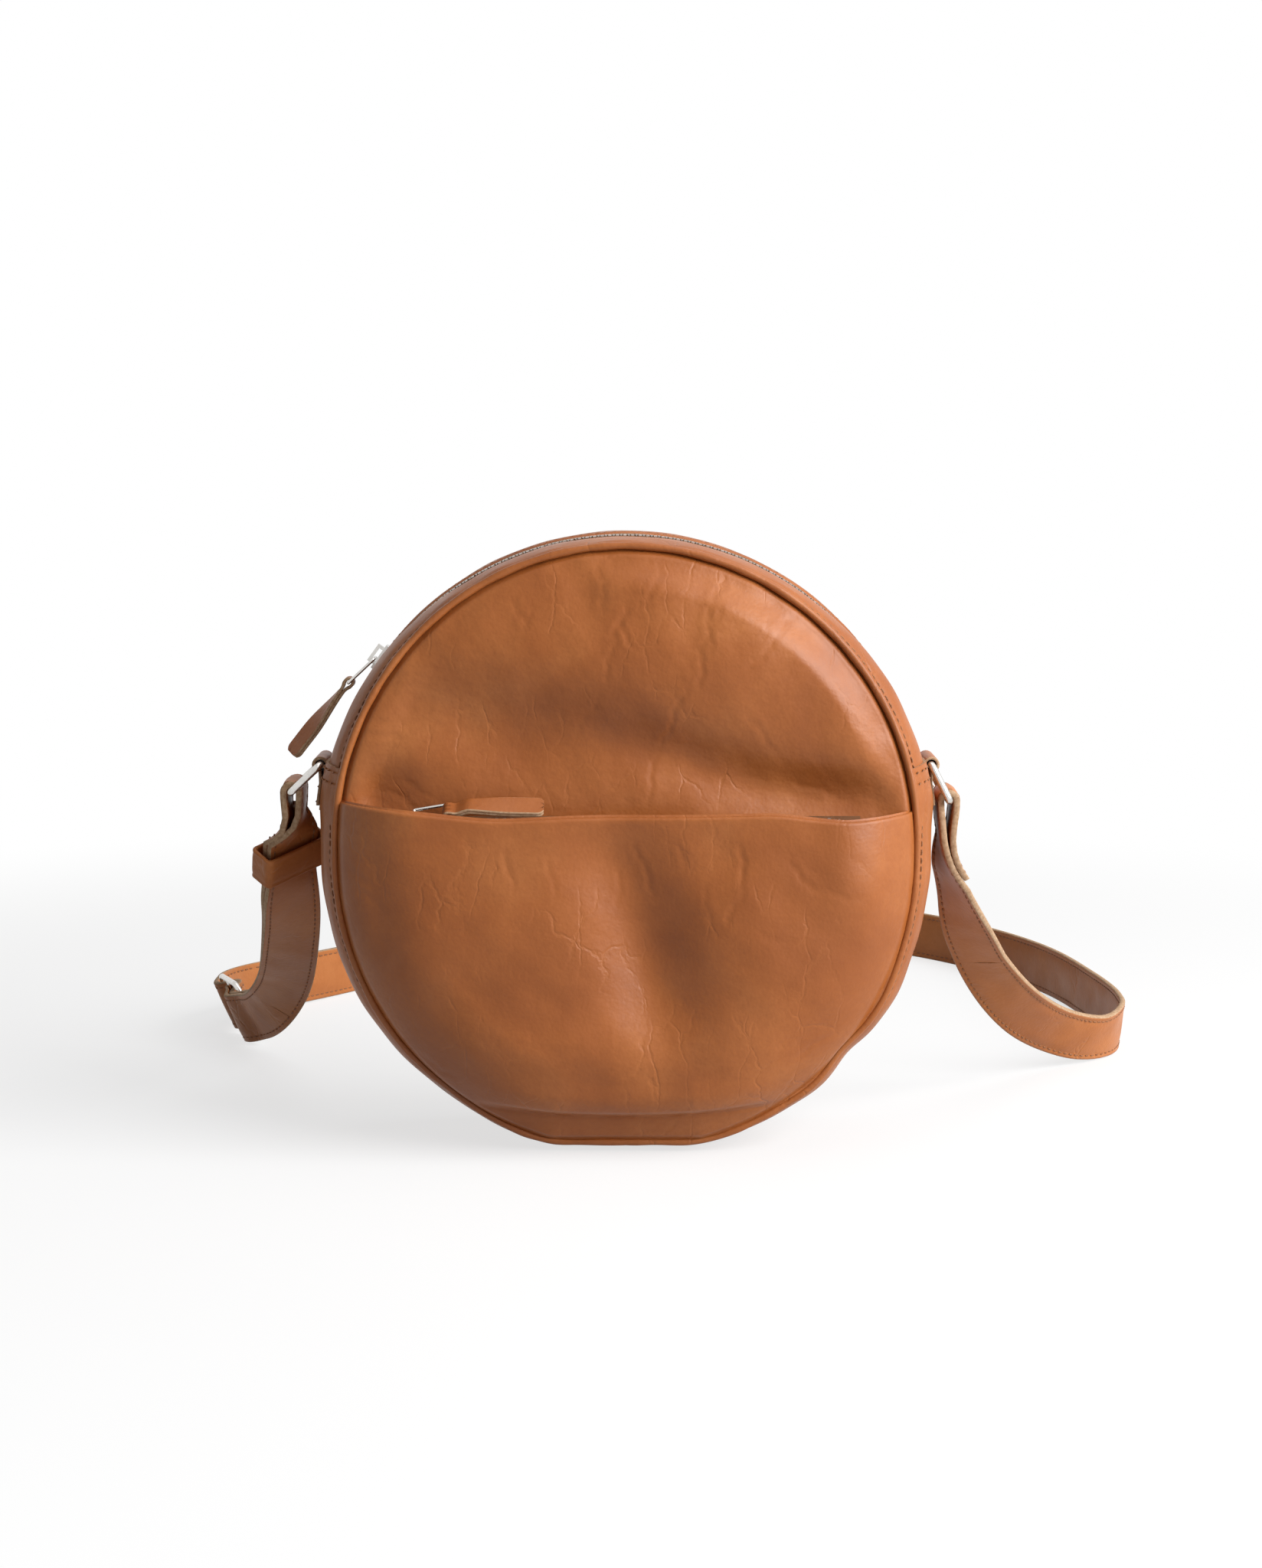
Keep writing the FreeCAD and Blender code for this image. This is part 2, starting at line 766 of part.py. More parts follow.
def wire_loop(name, length, inner, wire, corner):
    """A bent-wire loop: first bar on the Y axis, far bar at its length along X."""
    body = new_body(name)
    half = (inner + wire) / 2
    spine = new_sketch(body, "spine", "XY_Plane")
    draw_path(spine, [
        (as_dim(0), -half + corner), (corner, -half), (length - corner, -half), (length, -half + corner),
        (length, half - corner), (length - corner, half), (corner, half), (as_dim(0), half - corner),
    ], {0: corner, 2: corner, 4: corner, 6: corner})
    section = new_sketch(body, "section", "XZ_Plane")
    draw_circle(section, as_dim(0), as_dim(0), wire / 2)
    pipe(body, section, spine)
    return body


def leather_pull(name):
    """A folded leather pull: a pointed double layer with an eye round the link's far bar."""
    body = new_body(name)
    half = size("pull_width") / 2
    long = size("pull_length")
    point = size("pull_point")
    eye = size("link_wire") / 2 + size("pull_play")
    ply = size("pull_leather")
    outline = new_sketch(body, "outline", "XY_Plane")
    draw_path(outline, [
        (as_dim(0), -half), (long - point, -half), (long, -half / 3),
        (long, half / 3), (long - point, half), (as_dim(0), half)])
    pad(body, outline, 2 * ply, symmetric=True)
    fold = new_sketch(body, "fold", "XZ_Plane")
    draw_circle(fold, as_dim(0), as_dim(0), eye + ply)
    pad(body, fold, 2 * half, symmetric=True)
    hole = new_sketch(body, "eye", "XZ_Plane")
    draw_circle(hole, as_dim(0), as_dim(0), eye)
    pocket_through(body, hole)
    return body


def turned(x, z, angle):
    """A step in a piece's own frame: to a place in its XZ plane, then up by an angle."""
    return FreeCAD.Placement(V(x, 0, z), FreeCAD.Rotation(V(0, 1, 0), -angle))


def pull_set(prefix, place, bridge_end, link_angle, pull_angle):
    """A slider with its wire link and its leather pull, each in its own place."""
    slider = slider_body(prefix + "_slider")
    slider.Placement = place
    link = wire_loop(
        prefix + "_pull_link",
        size("link_length"), size("link_inner"), size("link_wire"), size("link_corner"))
    link.Placement = place.multiply(turned(bridge_end, float(link_seat), link_angle))
    pull = leather_pull(prefix + "_leather_pull")
    pull.Placement = link.Placement.multiply(turned(float(size("link_length")), 0, pull_angle))
    return [slider, link, pull]


def build_pulls():
    reach = float(size("bridge_length")) / 2 - float(size("bridge_wall")) - float(size("link_wire")) / 2
    reach = reach - float(size("slider_gap"))
    main = pull_set(
        "main_zip", on_gusset(float(main_zip_rest), float(tape_radius)), reach,
        float(size("main_link_angle")), -float(size("main_pull_angle")))
    lift = float(size("pocket_link_angle"))
    pocket = pull_set(
        "pocket_zip", on_pocket(float(pocket_zip_rest)), -reach, 180 - lift, lift)
    return main + pocket


def tab_tube_radius():
    return size("ring_wire") / 2 + size("ring_play") + leather


def build_ring_tabs():
    """A doubled leather tab sewn to the gusset, rolled round the ring's bar."""
    right = new_body("ring_tab_right")
    foot = gusset_radius + size("seam_gap")
    half = size("tab_width") / 2
    stem = new_sketch(right, "stem", "YZ_Plane", upper_centre)
    layers = size("tab_layers")
    draw_path(stem, [(-half, foot), (half, foot), (half, foot + layers), (-half, foot + layers)])
    turn = revolve(right, stem)
    turn.Type = "TwoAngles"
    bind(turn, "Angle", 90 - size("tab_low_angle"))
    bind(turn, "Angle2", size("tab_tube_angle") - 90)
    tube = new_sketch(right, "tube", "XZ_Plane")
    centre = foot + tab_tube_radius()
    across = centre * cosine(size("tab_tube_angle"))
    height = upper_centre + centre * sine(size("tab_tube_angle"))
    draw_circle(tube, across, height, tab_tube_radius())
    pad(right, tube, 2 * half, symmetric=True)
    bore = new_sketch(right, "bore", "XZ_Plane")
    draw_circle(bore, across, height, tab_tube_radius() - leather)
    pocket_through(right, bore)
    left = mirrored(right, "ring_tab_left", V(1, 0, 0))
    return [right, left]


def ring_bar(side):
    """Middle of the bar that a ring turns on, on the right (1) or the left (-1)."""
    reach = float(gusset_radius) + float(size("seam_gap")) + float(tab_tube_radius())
    turn = math.radians(float(size("tab_tube_angle")))
    return V(side * reach * math.cos(turn), 0, float(upper_centre) + reach * math.sin(turn))


def ring_way(side):
    """Direction in which a ring hangs from its bar."""
    hang = float(size("ring_right_angle" if side > 0 else "ring_left_angle"))
    turn = math.radians(hang)
    return V(side * math.sin(turn), 0, -math.cos(turn))


def ring_seat(side):
    """Middle of the ring's far bar, which carries the strap."""
    return ring_bar(side) + ring_way(side) * float(size("ring_length"))


def build_rings():
    rings = []
    for name, side in (("ring_right", 1), ("ring_left", -1)):
        ring = wire_loop(
            name, size("ring_length"), size("ring_inner"), size("ring_wire"), size("ring_corner"))
        way = ring_way(side)
        across = V(0, 1, 0)
        ring.Placement = FreeCAD.Placement(
            ring_bar(side), FreeCAD.Rotation(way, across, way.cross(across), "ZXY"))
        rings.append(ring)
    return rings


# Middle line of the strap from the right ring round the back to the left ring, and the way its
# width points there: hand-chosen places of a strap that hangs down and then lies on edge, for a
# bag and a strap of these sizes.
STATION_RADIUS = 121
STATION_LIFT = 12.2
BACK_RUN = [
    ((133, 10, 104.5), (0.13, -0.93, 0.34)),
    ((139.4, 26, 84.5), (0.32, -0.86, 0.38)),
    ((147.6, 46, 66), (0.5, -0.76, 0.36)),
    ((159, 66, 48), (0.68, -0.5, 0.45)),
    ((175.5, 90, 30), (0.74, -0.2, 0.6)),
    ((193, 112, 18.5), (0.64, -0.2, 0.72)),
    ((211, 130, 12.4), (0.45, -0.22, 0.86)),
    ((222.5, 147, 12.2), (0.2, -0.1, 0.97)),
    ((227.5, 169, 12.2), (0.05, 0, 1)),
    ((227.5, 196, 12.2), (0, 0, 1)),
    ((223.5, 231, 12.2), (0, 0, 1)),
    ((214, 287, 12.2), (0, 0, 1)),
    ((193.5, 343, 12.2), (0, 0, 1)),
    ((157, 399, 12.2), (0, 0, 1)),
    ((118, 431, 12.2), (0, 0, 1)),
    ((71, 447, 12.2), (0, 0, 1)),
    ((22, 446, 12.2), (0, 0, 1)),
    ((-27, 428, 12.2), (0, 0, 1)),
    ((-71, 396, 12.2), (0, 0, 1)),
    ((-106, 353, 12.2), (0, 0, 1)),
    ((-134, 309, 12.2), (0, 0, 1)),
    ((-158, 275, 12.6), (-0.05, 0, 1)),
    ((-177, 246, 13.6), (-0.2, 0, 0.98)),
    ((-187.6, 219, 14.8), (-0.36, 0, 0.93)),
]
BUCKLE_RUN = [
    ((-187.2, 198.7, 15.6), (-0.42, 0, 0.91)),
    ((-180, 180, 16.2), (-0.42, 0, 0.91)),
    ((-172.8, 161.3, 16.8), (-0.42, 0, 0.91)),
]
LEFT_RISE = [
    ((-163.2, 138, 23), (-0.64, -0.05, 0.74)),
    ((-152.5, 111, 38.5), (-0.93, -0.05, 0.31)),
    ((-146.5, 84, 53.5), (-0.95, -0.22, 0.15)),
    ((-142, 57, 71), (-0.87, -0.45, 0.12)),
    ((-139, 34, 88), (-0.78, -0.6, 0.06)),
]
KEEPER_RUN = [
    ((-137.6, 17, 103.5), (-0.66, -0.75, 0)),
    ((-136.6, 11.2, 112.5), (-0.66, -0.75, 0)),
    ((-135.2, 5.4, 121.5), (-0.66, -0.75, 0)),
]


def blended(table, at):
    """A value eased between the places of a short table."""
    if at <= table[0][0]:
        return table[0][1]
    for (low, first), (high, last) in zip(table, table[1:]):
        if at <= high:
            share = (at - low) / (high - low)
            share = share * share * (3 - 2 * share)
            return first + (last - first) * share
    return table[-1][1]


def station(x, y, z):
    """A place of the strap's middle line, fitted to the bag's radius and the strap's width."""
    scale = float(gusset_radius) / STATION_RADIUS
    lift = (float(size("strap_width")) + float(size("ring_play"))) / 2
    return V(x * scale, y * scale, lift + (z - STATION_LIFT) * scale)


class StrapLine:
    """The strap's middle line by length, with its width direction and its normal."""

    def __init__(self):
        drop = V(0, 0, -float(size("strap_tab")) / 4)
        level = V(0, -1, 0)
        runs = BACK_RUN + BUCKLE_RUN + LEFT_RISE + KEEPER_RUN
        stations = [(station(*place), V(*width)) for place, width in runs]
        start = [(ring_seat(1) + drop * step, level) for step in (0, 1, 2)]
        finish = [(ring_seat(-1) + drop * step, level) for step in (1.4, 0.7, 0)]
        stations = start + stations + finish
        places = [ring_seat(1) - drop] + [place for place, width in stations] + [ring_seat(-1) - drop]
        self.curve = Part.BSplineCurve()
        self.curve.interpolate(places)
        self.start = self.curve.parameter(ring_seat(1))
        self.marks = []
        for place, width in stations:
            length = self.curve.length(self.start, self.curve.parameter(place))
            self.marks.append((length, width.normalize()))
        self.length = self.marks[-1][0]
        keeper = len(stations) - len(finish) - 2
        self.keeper_at = self.marks[keeper][0]
        self.buckle_at = self.marks[keeper - len(LEFT_RISE) - len(KEEPER_RUN)][0]

    def at(self, length):
        """Place, width direction and normal at a length along the strap."""
        length = min(max(length, 0), self.length)
        spot = self.curve.parameterAtDistance(length, self.start)
        along = self.curve.tangent(spot)[0]
        for (low, first), (high, last) in zip(self.marks, self.marks[1:]):
            if length <= high:
                width = first + (last - first) * ((length - low) / (high - low))
                break
        width = (width - along * width.dot(along)).normalize()
        return self.curve.value(spot), width, width.cross(along)


def ribbon(places):
    """A strap solid through places given as (middle, width direction, thickness)."""
    sections = []
    half = float(size("strap_width")) / 2
    for index, (middle, width, thick) in enumerate(places):
        before = places[max(index - 1, 0)][0]
        after = places[min(index + 1, len(places) - 1)][0]
        along = (after - before).normalize()
        across = (width - along * width.dot(along)).normalize()
        normal = across.cross(along)
        corners = [
            middle + across * half + normal * (thick / 2),
            middle - across * half + normal * (thick / 2),
            middle - across * half - normal * (thick / 2),
            middle + across * half - normal * (thick / 2),
        ]
        sections.append(Part.makePolygon(corners + corners[:1]))
    return Part.makeLoft(sections, True, True)


def spaced(low, high, step):
    count = max(int(round(abs(high - low) / step)), 1)
    return [low + (high - low) * index / count for index in range(count + 1)]


def build_strap():
    line = StrapLine()
    thick = float(size("strap_leather"))
    skived = float(size("strap_skived"))
    play = float(size("strap_play"))
    reach = float(size("buckle_reach"))
    bar = float(size("buckle_wire")) / 2
    fold = float(size("ring_wire")) / 2 + float(size("ring_play")) + thick / 2
    ply = (thick + play) / 2
    tab = float(size("strap_tab"))
    buckle_at = line.buckle_at
    low = -(bar + play + thick / 2)
    eye = bar + play + skived / 2
    high = eye + skived / 2 + play + thick / 2
    run = [
        (0, -fold), (tab * 0.7, -ply), (tab, -ply), (2 * tab, 0),
        (buckle_at - 2 * reach, 0), (buckle_at - reach, low), (buckle_at, high),
        (buckle_at + reach, low), (buckle_at + 2.2 * reach, ply),
        (line.length - tab * 0.8, ply), (line.length, fold),
    ]
    under = [
        (buckle_at, -eye), (buckle_at + reach, low - thick - play),
        (buckle_at + 2.2 * reach, -ply), (line.length - tab * 0.8, -ply), (line.length, -fold),
    ]
    shaved = [(buckle_at + 0.4 * reach, skived), (buckle_at + reach, thick)]
    places = []

    def layer(lengths, offsets, gauge):
        for length in lengths:
            middle, width, normal = line.at(length)
            places.append((middle + normal * blended(offsets, length), width, blended(gauge, length)))

    def fold_over(length, radius, sign, gauge):
        """Turn half round a bar at a length of the strap, from one side of it to the other."""
        middle, width, normal = line.at(length)
        along = normal.cross(width)
        away = along if length == line.length else along * -1
        for angle in range(30, 180, 30):
            turn = math.radians(angle)
            offset = normal * (sign * radius * math.cos(turn)) + away * (radius * math.sin(turn))
            places.append((middle + offset, width, gauge))

    plain = [(0, thick)]
    tab_side = [(0, fold), (tab * 0.7, ply), (tab, ply)]
    layer(spaced(tab, 0, 6), tab_side, plain)
    fold_over(0, fold, 1, thick)
    near = buckle_at - 2 * reach
    far = buckle_at + 2.2 * reach
    layer(spaced(0, 2 * tab, 6), run, plain)
    layer(spaced(2 * tab, near, 12)[1:], run, plain)
    layer(spaced(near, far, 3)[1:], run, plain)
    layer(spaced(far, line.length, 6)[1:], run, plain)
    fold_over(line.length, fold, 1, thick)
    layer(spaced(line.length, far, 6), under, plain)
    layer(spaced(far, buckle_at, 3)[1:], under, shaved)
    fold_over(buckle_at, eye, -1, skived)
    layer([buckle_at, buckle_at + reach / 4], [(0, eye)], [(0, skived)])
    return shape_feature("shoulder_strap", ribbon(places))


def strap_frame(line, length):
    """A frame on the strap: X along it, Y across its width, Z out of its face."""
    middle, width, normal = line.at(length)
    return FreeCAD.Placement(middle, FreeCAD.Rotation(normal.cross(width), width, normal * -1, "ZXY"))


def build_buckle():
    line = StrapLine()
    place = strap_frame(line, line.buckle_at)
    reach = size("buckle_reach")
    frame = wire_loop(
        "buckle_frame", 2 * reach, size("buckle_inner"), size("buckle_wire"), size("buckle_corner"))
    frame.Placement = place.multiply(FreeCAD.Placement(V(-float(reach), 0, 0), FreeCAD.Rotation()))
    bar = doc.addObject("Part::Cylinder", "buckle_bar")
    bind(bar, "Radius", size("buckle_wire") / 2)
    bind(bar, "Height", size("buckle_inner") + size("buckle_wire"))
    half = float(size("buckle_inner") + size("buckle_wire")) / 2
    bar.Placement = place.multiply(
        FreeCAD.Placement(V(0, -half, 0), FreeCAD.Rotation(V(1, 0, 0), -90)))
    return [fuse("strap_buckle", frame, bar)]


def build_keeper():
    line = StrapLine()
    place = strap_frame(line, line.keeper_at)
    play = size("keeper_play")
    wall = size("keeper_leather")
    tall = size("keeper_height")
    wide = size("strap_width") + 2 * play
    deep = 2 * size("strap_leather") + size("strap_play") + 2 * play
    blocks = []
    for name, extra, length in (("keeper_block", 2 * wall, tall), ("keeper_hollow", as_dim(0), 3 * tall)):
        solid = doc.addObject("Part::Box", name)
        bind(solid, "Length", length)
        bind(solid, "Width", wide + extra)
        bind(solid, "Height", deep + extra)
        corner = V(-float(length) / 2, -float(wide + extra) / 2, -float(deep + extra) / 2)
        solid.Placement = place.multiply(FreeCAD.Placement(corner, FreeCAD.Rotation()))
        blocks.append(solid)
    return [cut("strap_keeper", blocks[0], blocks[1])]


pieces = []
pieces += build_gusset()
pieces += build_panels()
pieces += build_piping()
pieces += build_lining()
pieces += build_main_zip()
pieces += build_pocket_zip()
pieces += build_pulls()
pieces += build_ring_tabs()
pieces += build_rings()
pieces.append(build_strap())
pieces += build_buckle()
pieces += build_keeper()
doc.recompute()

for item in doc.Objects:
    if "Invalid" in item.State or "Error" in item.State:
        raise RuntimeError("%s did not build: %s" % (item.Label, item.State))
for piece in pieces:
    if piece.Shape.isNull() or not piece.Shape.isValid():
        raise RuntimeError("%s has no valid shape" % piece.Label)

os.makedirs("parts", exist_ok=True)
for piece in pieces:
    piece.Shape.exportStep("parts/%s.step" % piece.Label)
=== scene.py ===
import json
import math

import bmesh
import bpy
import numpy as np
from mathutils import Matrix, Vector


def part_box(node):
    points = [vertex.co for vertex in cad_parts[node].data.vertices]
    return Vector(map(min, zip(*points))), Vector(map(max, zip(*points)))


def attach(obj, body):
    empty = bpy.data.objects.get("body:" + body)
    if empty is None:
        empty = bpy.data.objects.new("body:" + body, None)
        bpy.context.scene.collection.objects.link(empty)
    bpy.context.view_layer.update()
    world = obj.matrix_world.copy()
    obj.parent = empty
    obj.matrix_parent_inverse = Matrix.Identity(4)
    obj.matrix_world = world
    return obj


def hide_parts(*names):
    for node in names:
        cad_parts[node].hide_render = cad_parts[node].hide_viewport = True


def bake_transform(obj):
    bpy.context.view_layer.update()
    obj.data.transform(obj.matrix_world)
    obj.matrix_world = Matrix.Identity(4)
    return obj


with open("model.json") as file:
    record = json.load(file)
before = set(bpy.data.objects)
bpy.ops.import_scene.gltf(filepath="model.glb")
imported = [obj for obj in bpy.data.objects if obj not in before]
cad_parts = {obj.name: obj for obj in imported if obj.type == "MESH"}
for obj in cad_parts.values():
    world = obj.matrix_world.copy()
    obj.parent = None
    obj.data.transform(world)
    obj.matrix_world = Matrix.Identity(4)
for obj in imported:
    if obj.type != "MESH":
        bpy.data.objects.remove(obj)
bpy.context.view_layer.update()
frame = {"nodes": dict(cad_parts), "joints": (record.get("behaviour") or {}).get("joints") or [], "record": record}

# Shapes are worked out in millimetres, in the frame of the CAD, and written in metres.
MM = 0.001
SHARP_ANGLE = math.radians(48)


def span(node):
    """Lowest and highest corner of a CAD node."""
    low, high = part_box(node)
    return np.array(low) / MM, np.array(high) / MM


joints = {joint["name"]: joint for joint in frame["joints"]}


def joint_place(name):
    return np.array(joints[name]["pos_m"]) / MM


# Sizes of the bag, read from the frame where it holds them
GUSSET_RADIUS = span("gusset_lower_right")[1][0]
SEAM_HALF = span("gusset_lower_right")[1][1]
UPPER_CENTRE = span("gusset_top_front")[1][2] - GUSSET_RADIUS
POCKET_TOP = span("front_pocket_panel")[1][2]
SIDE_RUN = 6
LOWER_CENTRE = UPPER_CENTRE - SIDE_RUN
BASE_CORNER = 60
GUSSET_FLAT = 16
SEAM_DROP = 5
SEAM_GAP = 0.3
SIDE_DROP = 3
SPLIT_TURN = math.asin((span("gusset_lower_right")[1][2] - UPPER_CENTRE) / GUSSET_RADIUS)
LEATHER = 1.6
POCKET_PLY = 0.9
GUSSET_PLY = 1.2
LINING_CLOTH = 0.5
FRONT_CROWN = 6
BACK_CROWN = 9
POCKET_CROWN = 19
POCKET_ENDS = 4.7
POCKET_BOW = 3.7
POCKET_RIGHT_DIP = 4.1
ZIP_WINDOW = 4.5
TAPE_RADIUS = 118.9
TAPE_CLOTH = 0.6
THREAD = 0.36
WELT_RADIUS = 1.5
HALVES = (("front", -1), ("rear", 1))

# Points of the meshes along and across each piece
PANEL_RINGS, PANEL_SPOKES = 118, 520
POCKET_ROWS, POCKET_COLUMNS = 130, 260
GUSSET_ROWS, GUSSET_COLUMNS = 300, 64
TOP_ROWS, TOP_COLUMNS = 380, 30
WELT_ROWS, WELT_SIDES = 700, 14
LINING_RINGS, LINING_SPOKES = 28, 160
LINING_ROWS, LINING_COLUMNS = 240, 24
MAIN_TAPE_ROWS, POCKET_TAPE_ROWS = 300, 120
PULL_ROWS = 34


def smooth(low, high, value):
    share = np.clip((np.asarray(value, float) - low) / (high - low), 0, 1)
    return share * share * (3 - 2 * share)


def unit(vectors):
    vectors = np.asarray(vectors, float)
    return vectors / np.maximum(np.linalg.norm(vectors, axis=-1, keepdims=True), 1e-9)


def squared(vectors, along):
    """Unit vectors made square to the directions along."""
    return unit(vectors - along * np.sum(vectors * along, axis=-1, keepdims=True))


def run_lengths(points):
    """Length of a line of points from its start to each of them."""
    return np.concatenate([[0], np.cumsum(np.linalg.norm(np.diff(points, axis=0), axis=1))])


def between(at, knots, vectors):
    """Vectors read between the knots of a line."""
    return np.stack([np.interp(at, knots, vectors[:, axis]) for axis in range(3)], axis=-1)


# Outline of the bag, seen from the front
CORNER_RUN = GUSSET_RADIUS - BASE_CORNER
CORNER_RISE = LOWER_CENTRE - BASE_CORNER
BASE_HALF = math.sqrt(CORNER_RUN ** 2 - CORNER_RISE ** 2)
CORNER_TURN = math.pi / 2 - math.atan2(CORNER_RISE, BASE_HALF)
LOWER_TURN = math.pi / 2 - CORNER_TURN
RUNS = np.cumsum([
    BASE_HALF, BASE_CORNER * CORNER_TURN, GUSSET_RADIUS * LOWER_TURN, SIDE_RUN, GUSSET_RADIUS * math.pi / 2])
OUTLINE_LENGTH = 2 * RUNS[-1]
# Share of the outline at which the lower gusset ends
SPLIT = (RUNS[3] + SPLIT_TURN * GUSSET_RADIUS) / OUTLINE_LENGTH
# Places where the soft outline gives: share of the outline's length, width and depth
GIVES = [(0.132, 0.012, -1.7), (0.104, 0.014, 0.7), (0.168, 0.02, 0.9), (0.9, 0.03, -1.1), (0.3, 0.05, 0.5)]


def give(share):
    """How far the soft outline stands out of its drawn line."""
    return sum(depth * np.exp(-((share - at) / wide) ** 2) for at, wide, depth in GIVES)


def rim(share, inset):
    """Points (x, z) of the outline set in by a distance, from the base's middle up the right side,
    over the top and down the left side, with the outward direction at each."""
    share = np.asarray(share, float)
    right = share <= 0.5
    run = np.where(right, share, 1 - share) * OUTLINE_LENGTH
    corner = -math.pi / 2 + (run - RUNS[0]) / BASE_CORNER
    lower = -LOWER_TURN + (run - RUNS[1]) / GUSSET_RADIUS
    upper = (run - RUNS[3]) / GUSSET_RADIUS
    parts = [run < RUNS[0], run < RUNS[1], run < RUNS[2], run < RUNS[3]]
    turn = np.select(parts, [-math.pi / 2 + 0 * run, corner, lower, 0 * run], upper)
    x = np.select(parts, [
        run, BASE_HALF + BASE_CORNER * np.cos(turn), GUSSET_RADIUS * np.cos(turn), GUSSET_RADIUS + 0 * run,
    ], GUSSET_RADIUS * np.cos(turn))
    z = np.select(parts, [
        0 * run, BASE_CORNER + BASE_CORNER * np.sin(turn), LOWER_CENTRE + GUSSET_RADIUS * np.sin(turn),
        LOWER_CENTRE + run - RUNS[2],
    ], UPPER_CENTRE + GUSSET_RADIUS * np.sin(turn))
    side = np.where(right, 1.0, -1.0)
    set_in = inset - give(share) * smooth(0.02, 0.06, np.minimum(share, 1 - share))
    out_x = np.cos(turn)
    out_z = np.sin(turn)
    return side * (x - set_in * out_x), z - set_in * out_z, side * out_x, out_z


def sunk(base, fall):
    """Places (x, z) of the outline, sunk into the bag."""
    return base[0] - fall * base[2], base[1] - fall * base[3]


def sideways(count):
    """Directions across the gusset, from the front to the rear."""
    return np.tile([0.0, 1.0, 0.0], (count, 1))


def seam_drop(share):
    """How far the seams lie in from the outline: more at the sides than over the top and the base."""
    return SEAM_DROP + SIDE_DROP * rim(share, 0)[2] ** 2


def edge_distance(x, z, inset):
    """Distance of a place on a panel from its rim."""
    reach = GUSSET_RADIUS - inset
    x = x * reach / (reach - SIDE_DROP)
    above = np.maximum(z - UPPER_CENTRE, 0) + np.minimum(z - LOWER_CENTRE, 0)
    return np.minimum(reach - np.hypot(x, above), z - inset)


# Mesh builders

def new_piece(name, points, faces, materials, marks=None):
    mesh = bpy.data.meshes.new(name)
    mesh.from_pydata((np.asarray(points) * MM).tolist(), [], faces)
    for material in materials:
        mesh.materials.append(material)
    if marks is not None:
        mesh.polygons.foreach_set("material_index", marks)
    mesh.polygons.foreach_set("use_smooth", [True] * len(mesh.polygons))
    work = bmesh.new()
    work.from_mesh(mesh)
    bmesh.ops.recalc_face_normals(work, faces=work.faces)
    work.to_mesh(mesh)
    work.free()
    mesh.set_sharp_from_angle(angle=SHARP_ANGLE)
    piece = bpy.data.objects.new(name, mesh)
    bpy.context.scene.collection.objects.link(piece)
    return piece


def grid_faces(rows, columns, start=0, wrap=False):
    """Four-sided faces of a grid of points; wrap joins the last column to the first."""
    faces = []
    last = columns if wrap else columns - 1
    for row in range(rows - 1):
        for column in range(last):
            after = (column + 1) % columns
            low = start + row * columns
            high = low + columns
            faces.append((low + column, low + after, high + after, high + column))
    return faces


def grid_normals(grid, wrap=False):
    along = np.gradient(grid, axis=0)
    if wrap:
        across = (np.roll(grid, -1, axis=1) - np.roll(grid, 1, axis=1)) / 2
    else:
        across = np.gradient(grid, axis=1)
    return unit(np.cross(along, across))


def sheet(name, grid, thick, inwards, materials, wrap=False):
    """A closed sheet of leather or cloth: its outer face goes through a grid of points, and its inner
    face is set back towards the inwards side. The second material is on its cut edges. wrap makes a
    round sheet, whose rows are rings about its middle."""
    rows, columns = grid.shape[:2]
    normals = grid_normals(grid, wrap)
    side = np.sign(np.sum(normals * inwards, axis=2, keepdims=True))
    inner = grid + normals * np.where(side == 0, 1, side) * thick
    points = np.concatenate([grid.reshape(-1, 3), inner.reshape(-1, 3)])
    count = rows * columns
    faces = grid_faces(rows, columns, 0, wrap)
    faces += [tuple(reversed(face)) for face in grid_faces(rows, columns, count, wrap)]
    borders = [[(rows - 1) * columns + column for column in range(columns)]]
    if wrap:
        points = np.concatenate([points, [grid[0].mean(axis=0), inner[0].mean(axis=0)]])
        for column in range(columns):
            after = (column + 1) % columns
            faces.append((after, column, 2 * count))
            faces.append((count + column, count + after, 2 * count + 1))
    else:
        borders.append(list(range(columns)))
        borders.append([row * columns for row in range(rows)])
        borders.append([row * columns + columns - 1 for row in range(rows)])
    plain = len(faces)
    for border in borders:
        ends = border[1:] + border[:1] if wrap else border[1:]
        for first, second in zip(border, ends):
            faces.append((first, second, second + count, first + count))
    marks = [0] * plain + [1 if len(materials) > 1 else 0] * (len(faces) - plain)
    return new_piece(name, points, faces, materials, marks)


def tube(name, centres, frame_a, frame_b, radius, sides, materials):
    """A closed round tube through a loop of centres, with two directions across it at each."""
    turns = (np.arange(sides) * 2 * math.pi / sides)[None, :, None]
    ring = np.cos(turns) * frame_a[:, None, :] + np.sin(turns) * frame_b[:, None, :]
    grid = centres[:, None, :] + ring * np.reshape(radius, (-1, 1, 1))
    grid = np.concatenate([grid, grid[:1]])
    faces = grid_faces(len(grid), sides, 0, True)
    rows = len(centres)
    faces = [tuple(index % (rows * sides) for index in face) for face in faces]
    return new_piece(name, grid[:-1].reshape(-1, 3), faces, materials)


def band_section(half, thick, groove, inset):
    """Section of a flat strap: places across and heights, sunk a little along its rows of stitches."""
    bevel = 0.35
    row = half - inset
    across = [-half, -half + bevel, -row - 1, -row, -row + 1, -half * 0.4, 0]
    height = [thick / 2 - bevel, thick / 2, thick / 2, thick / 2 - groove, thick / 2, thick / 2 + groove / 2]
    height.append(thick / 2 + groove / 2)
    across = np.array(across + [-place for place in reversed(across[:-1])])
    height = np.array(height + list(reversed(height[:-1])))
    return np.concatenate([across, across[::-1]]), np.concatenate([height, -height[::-1]])


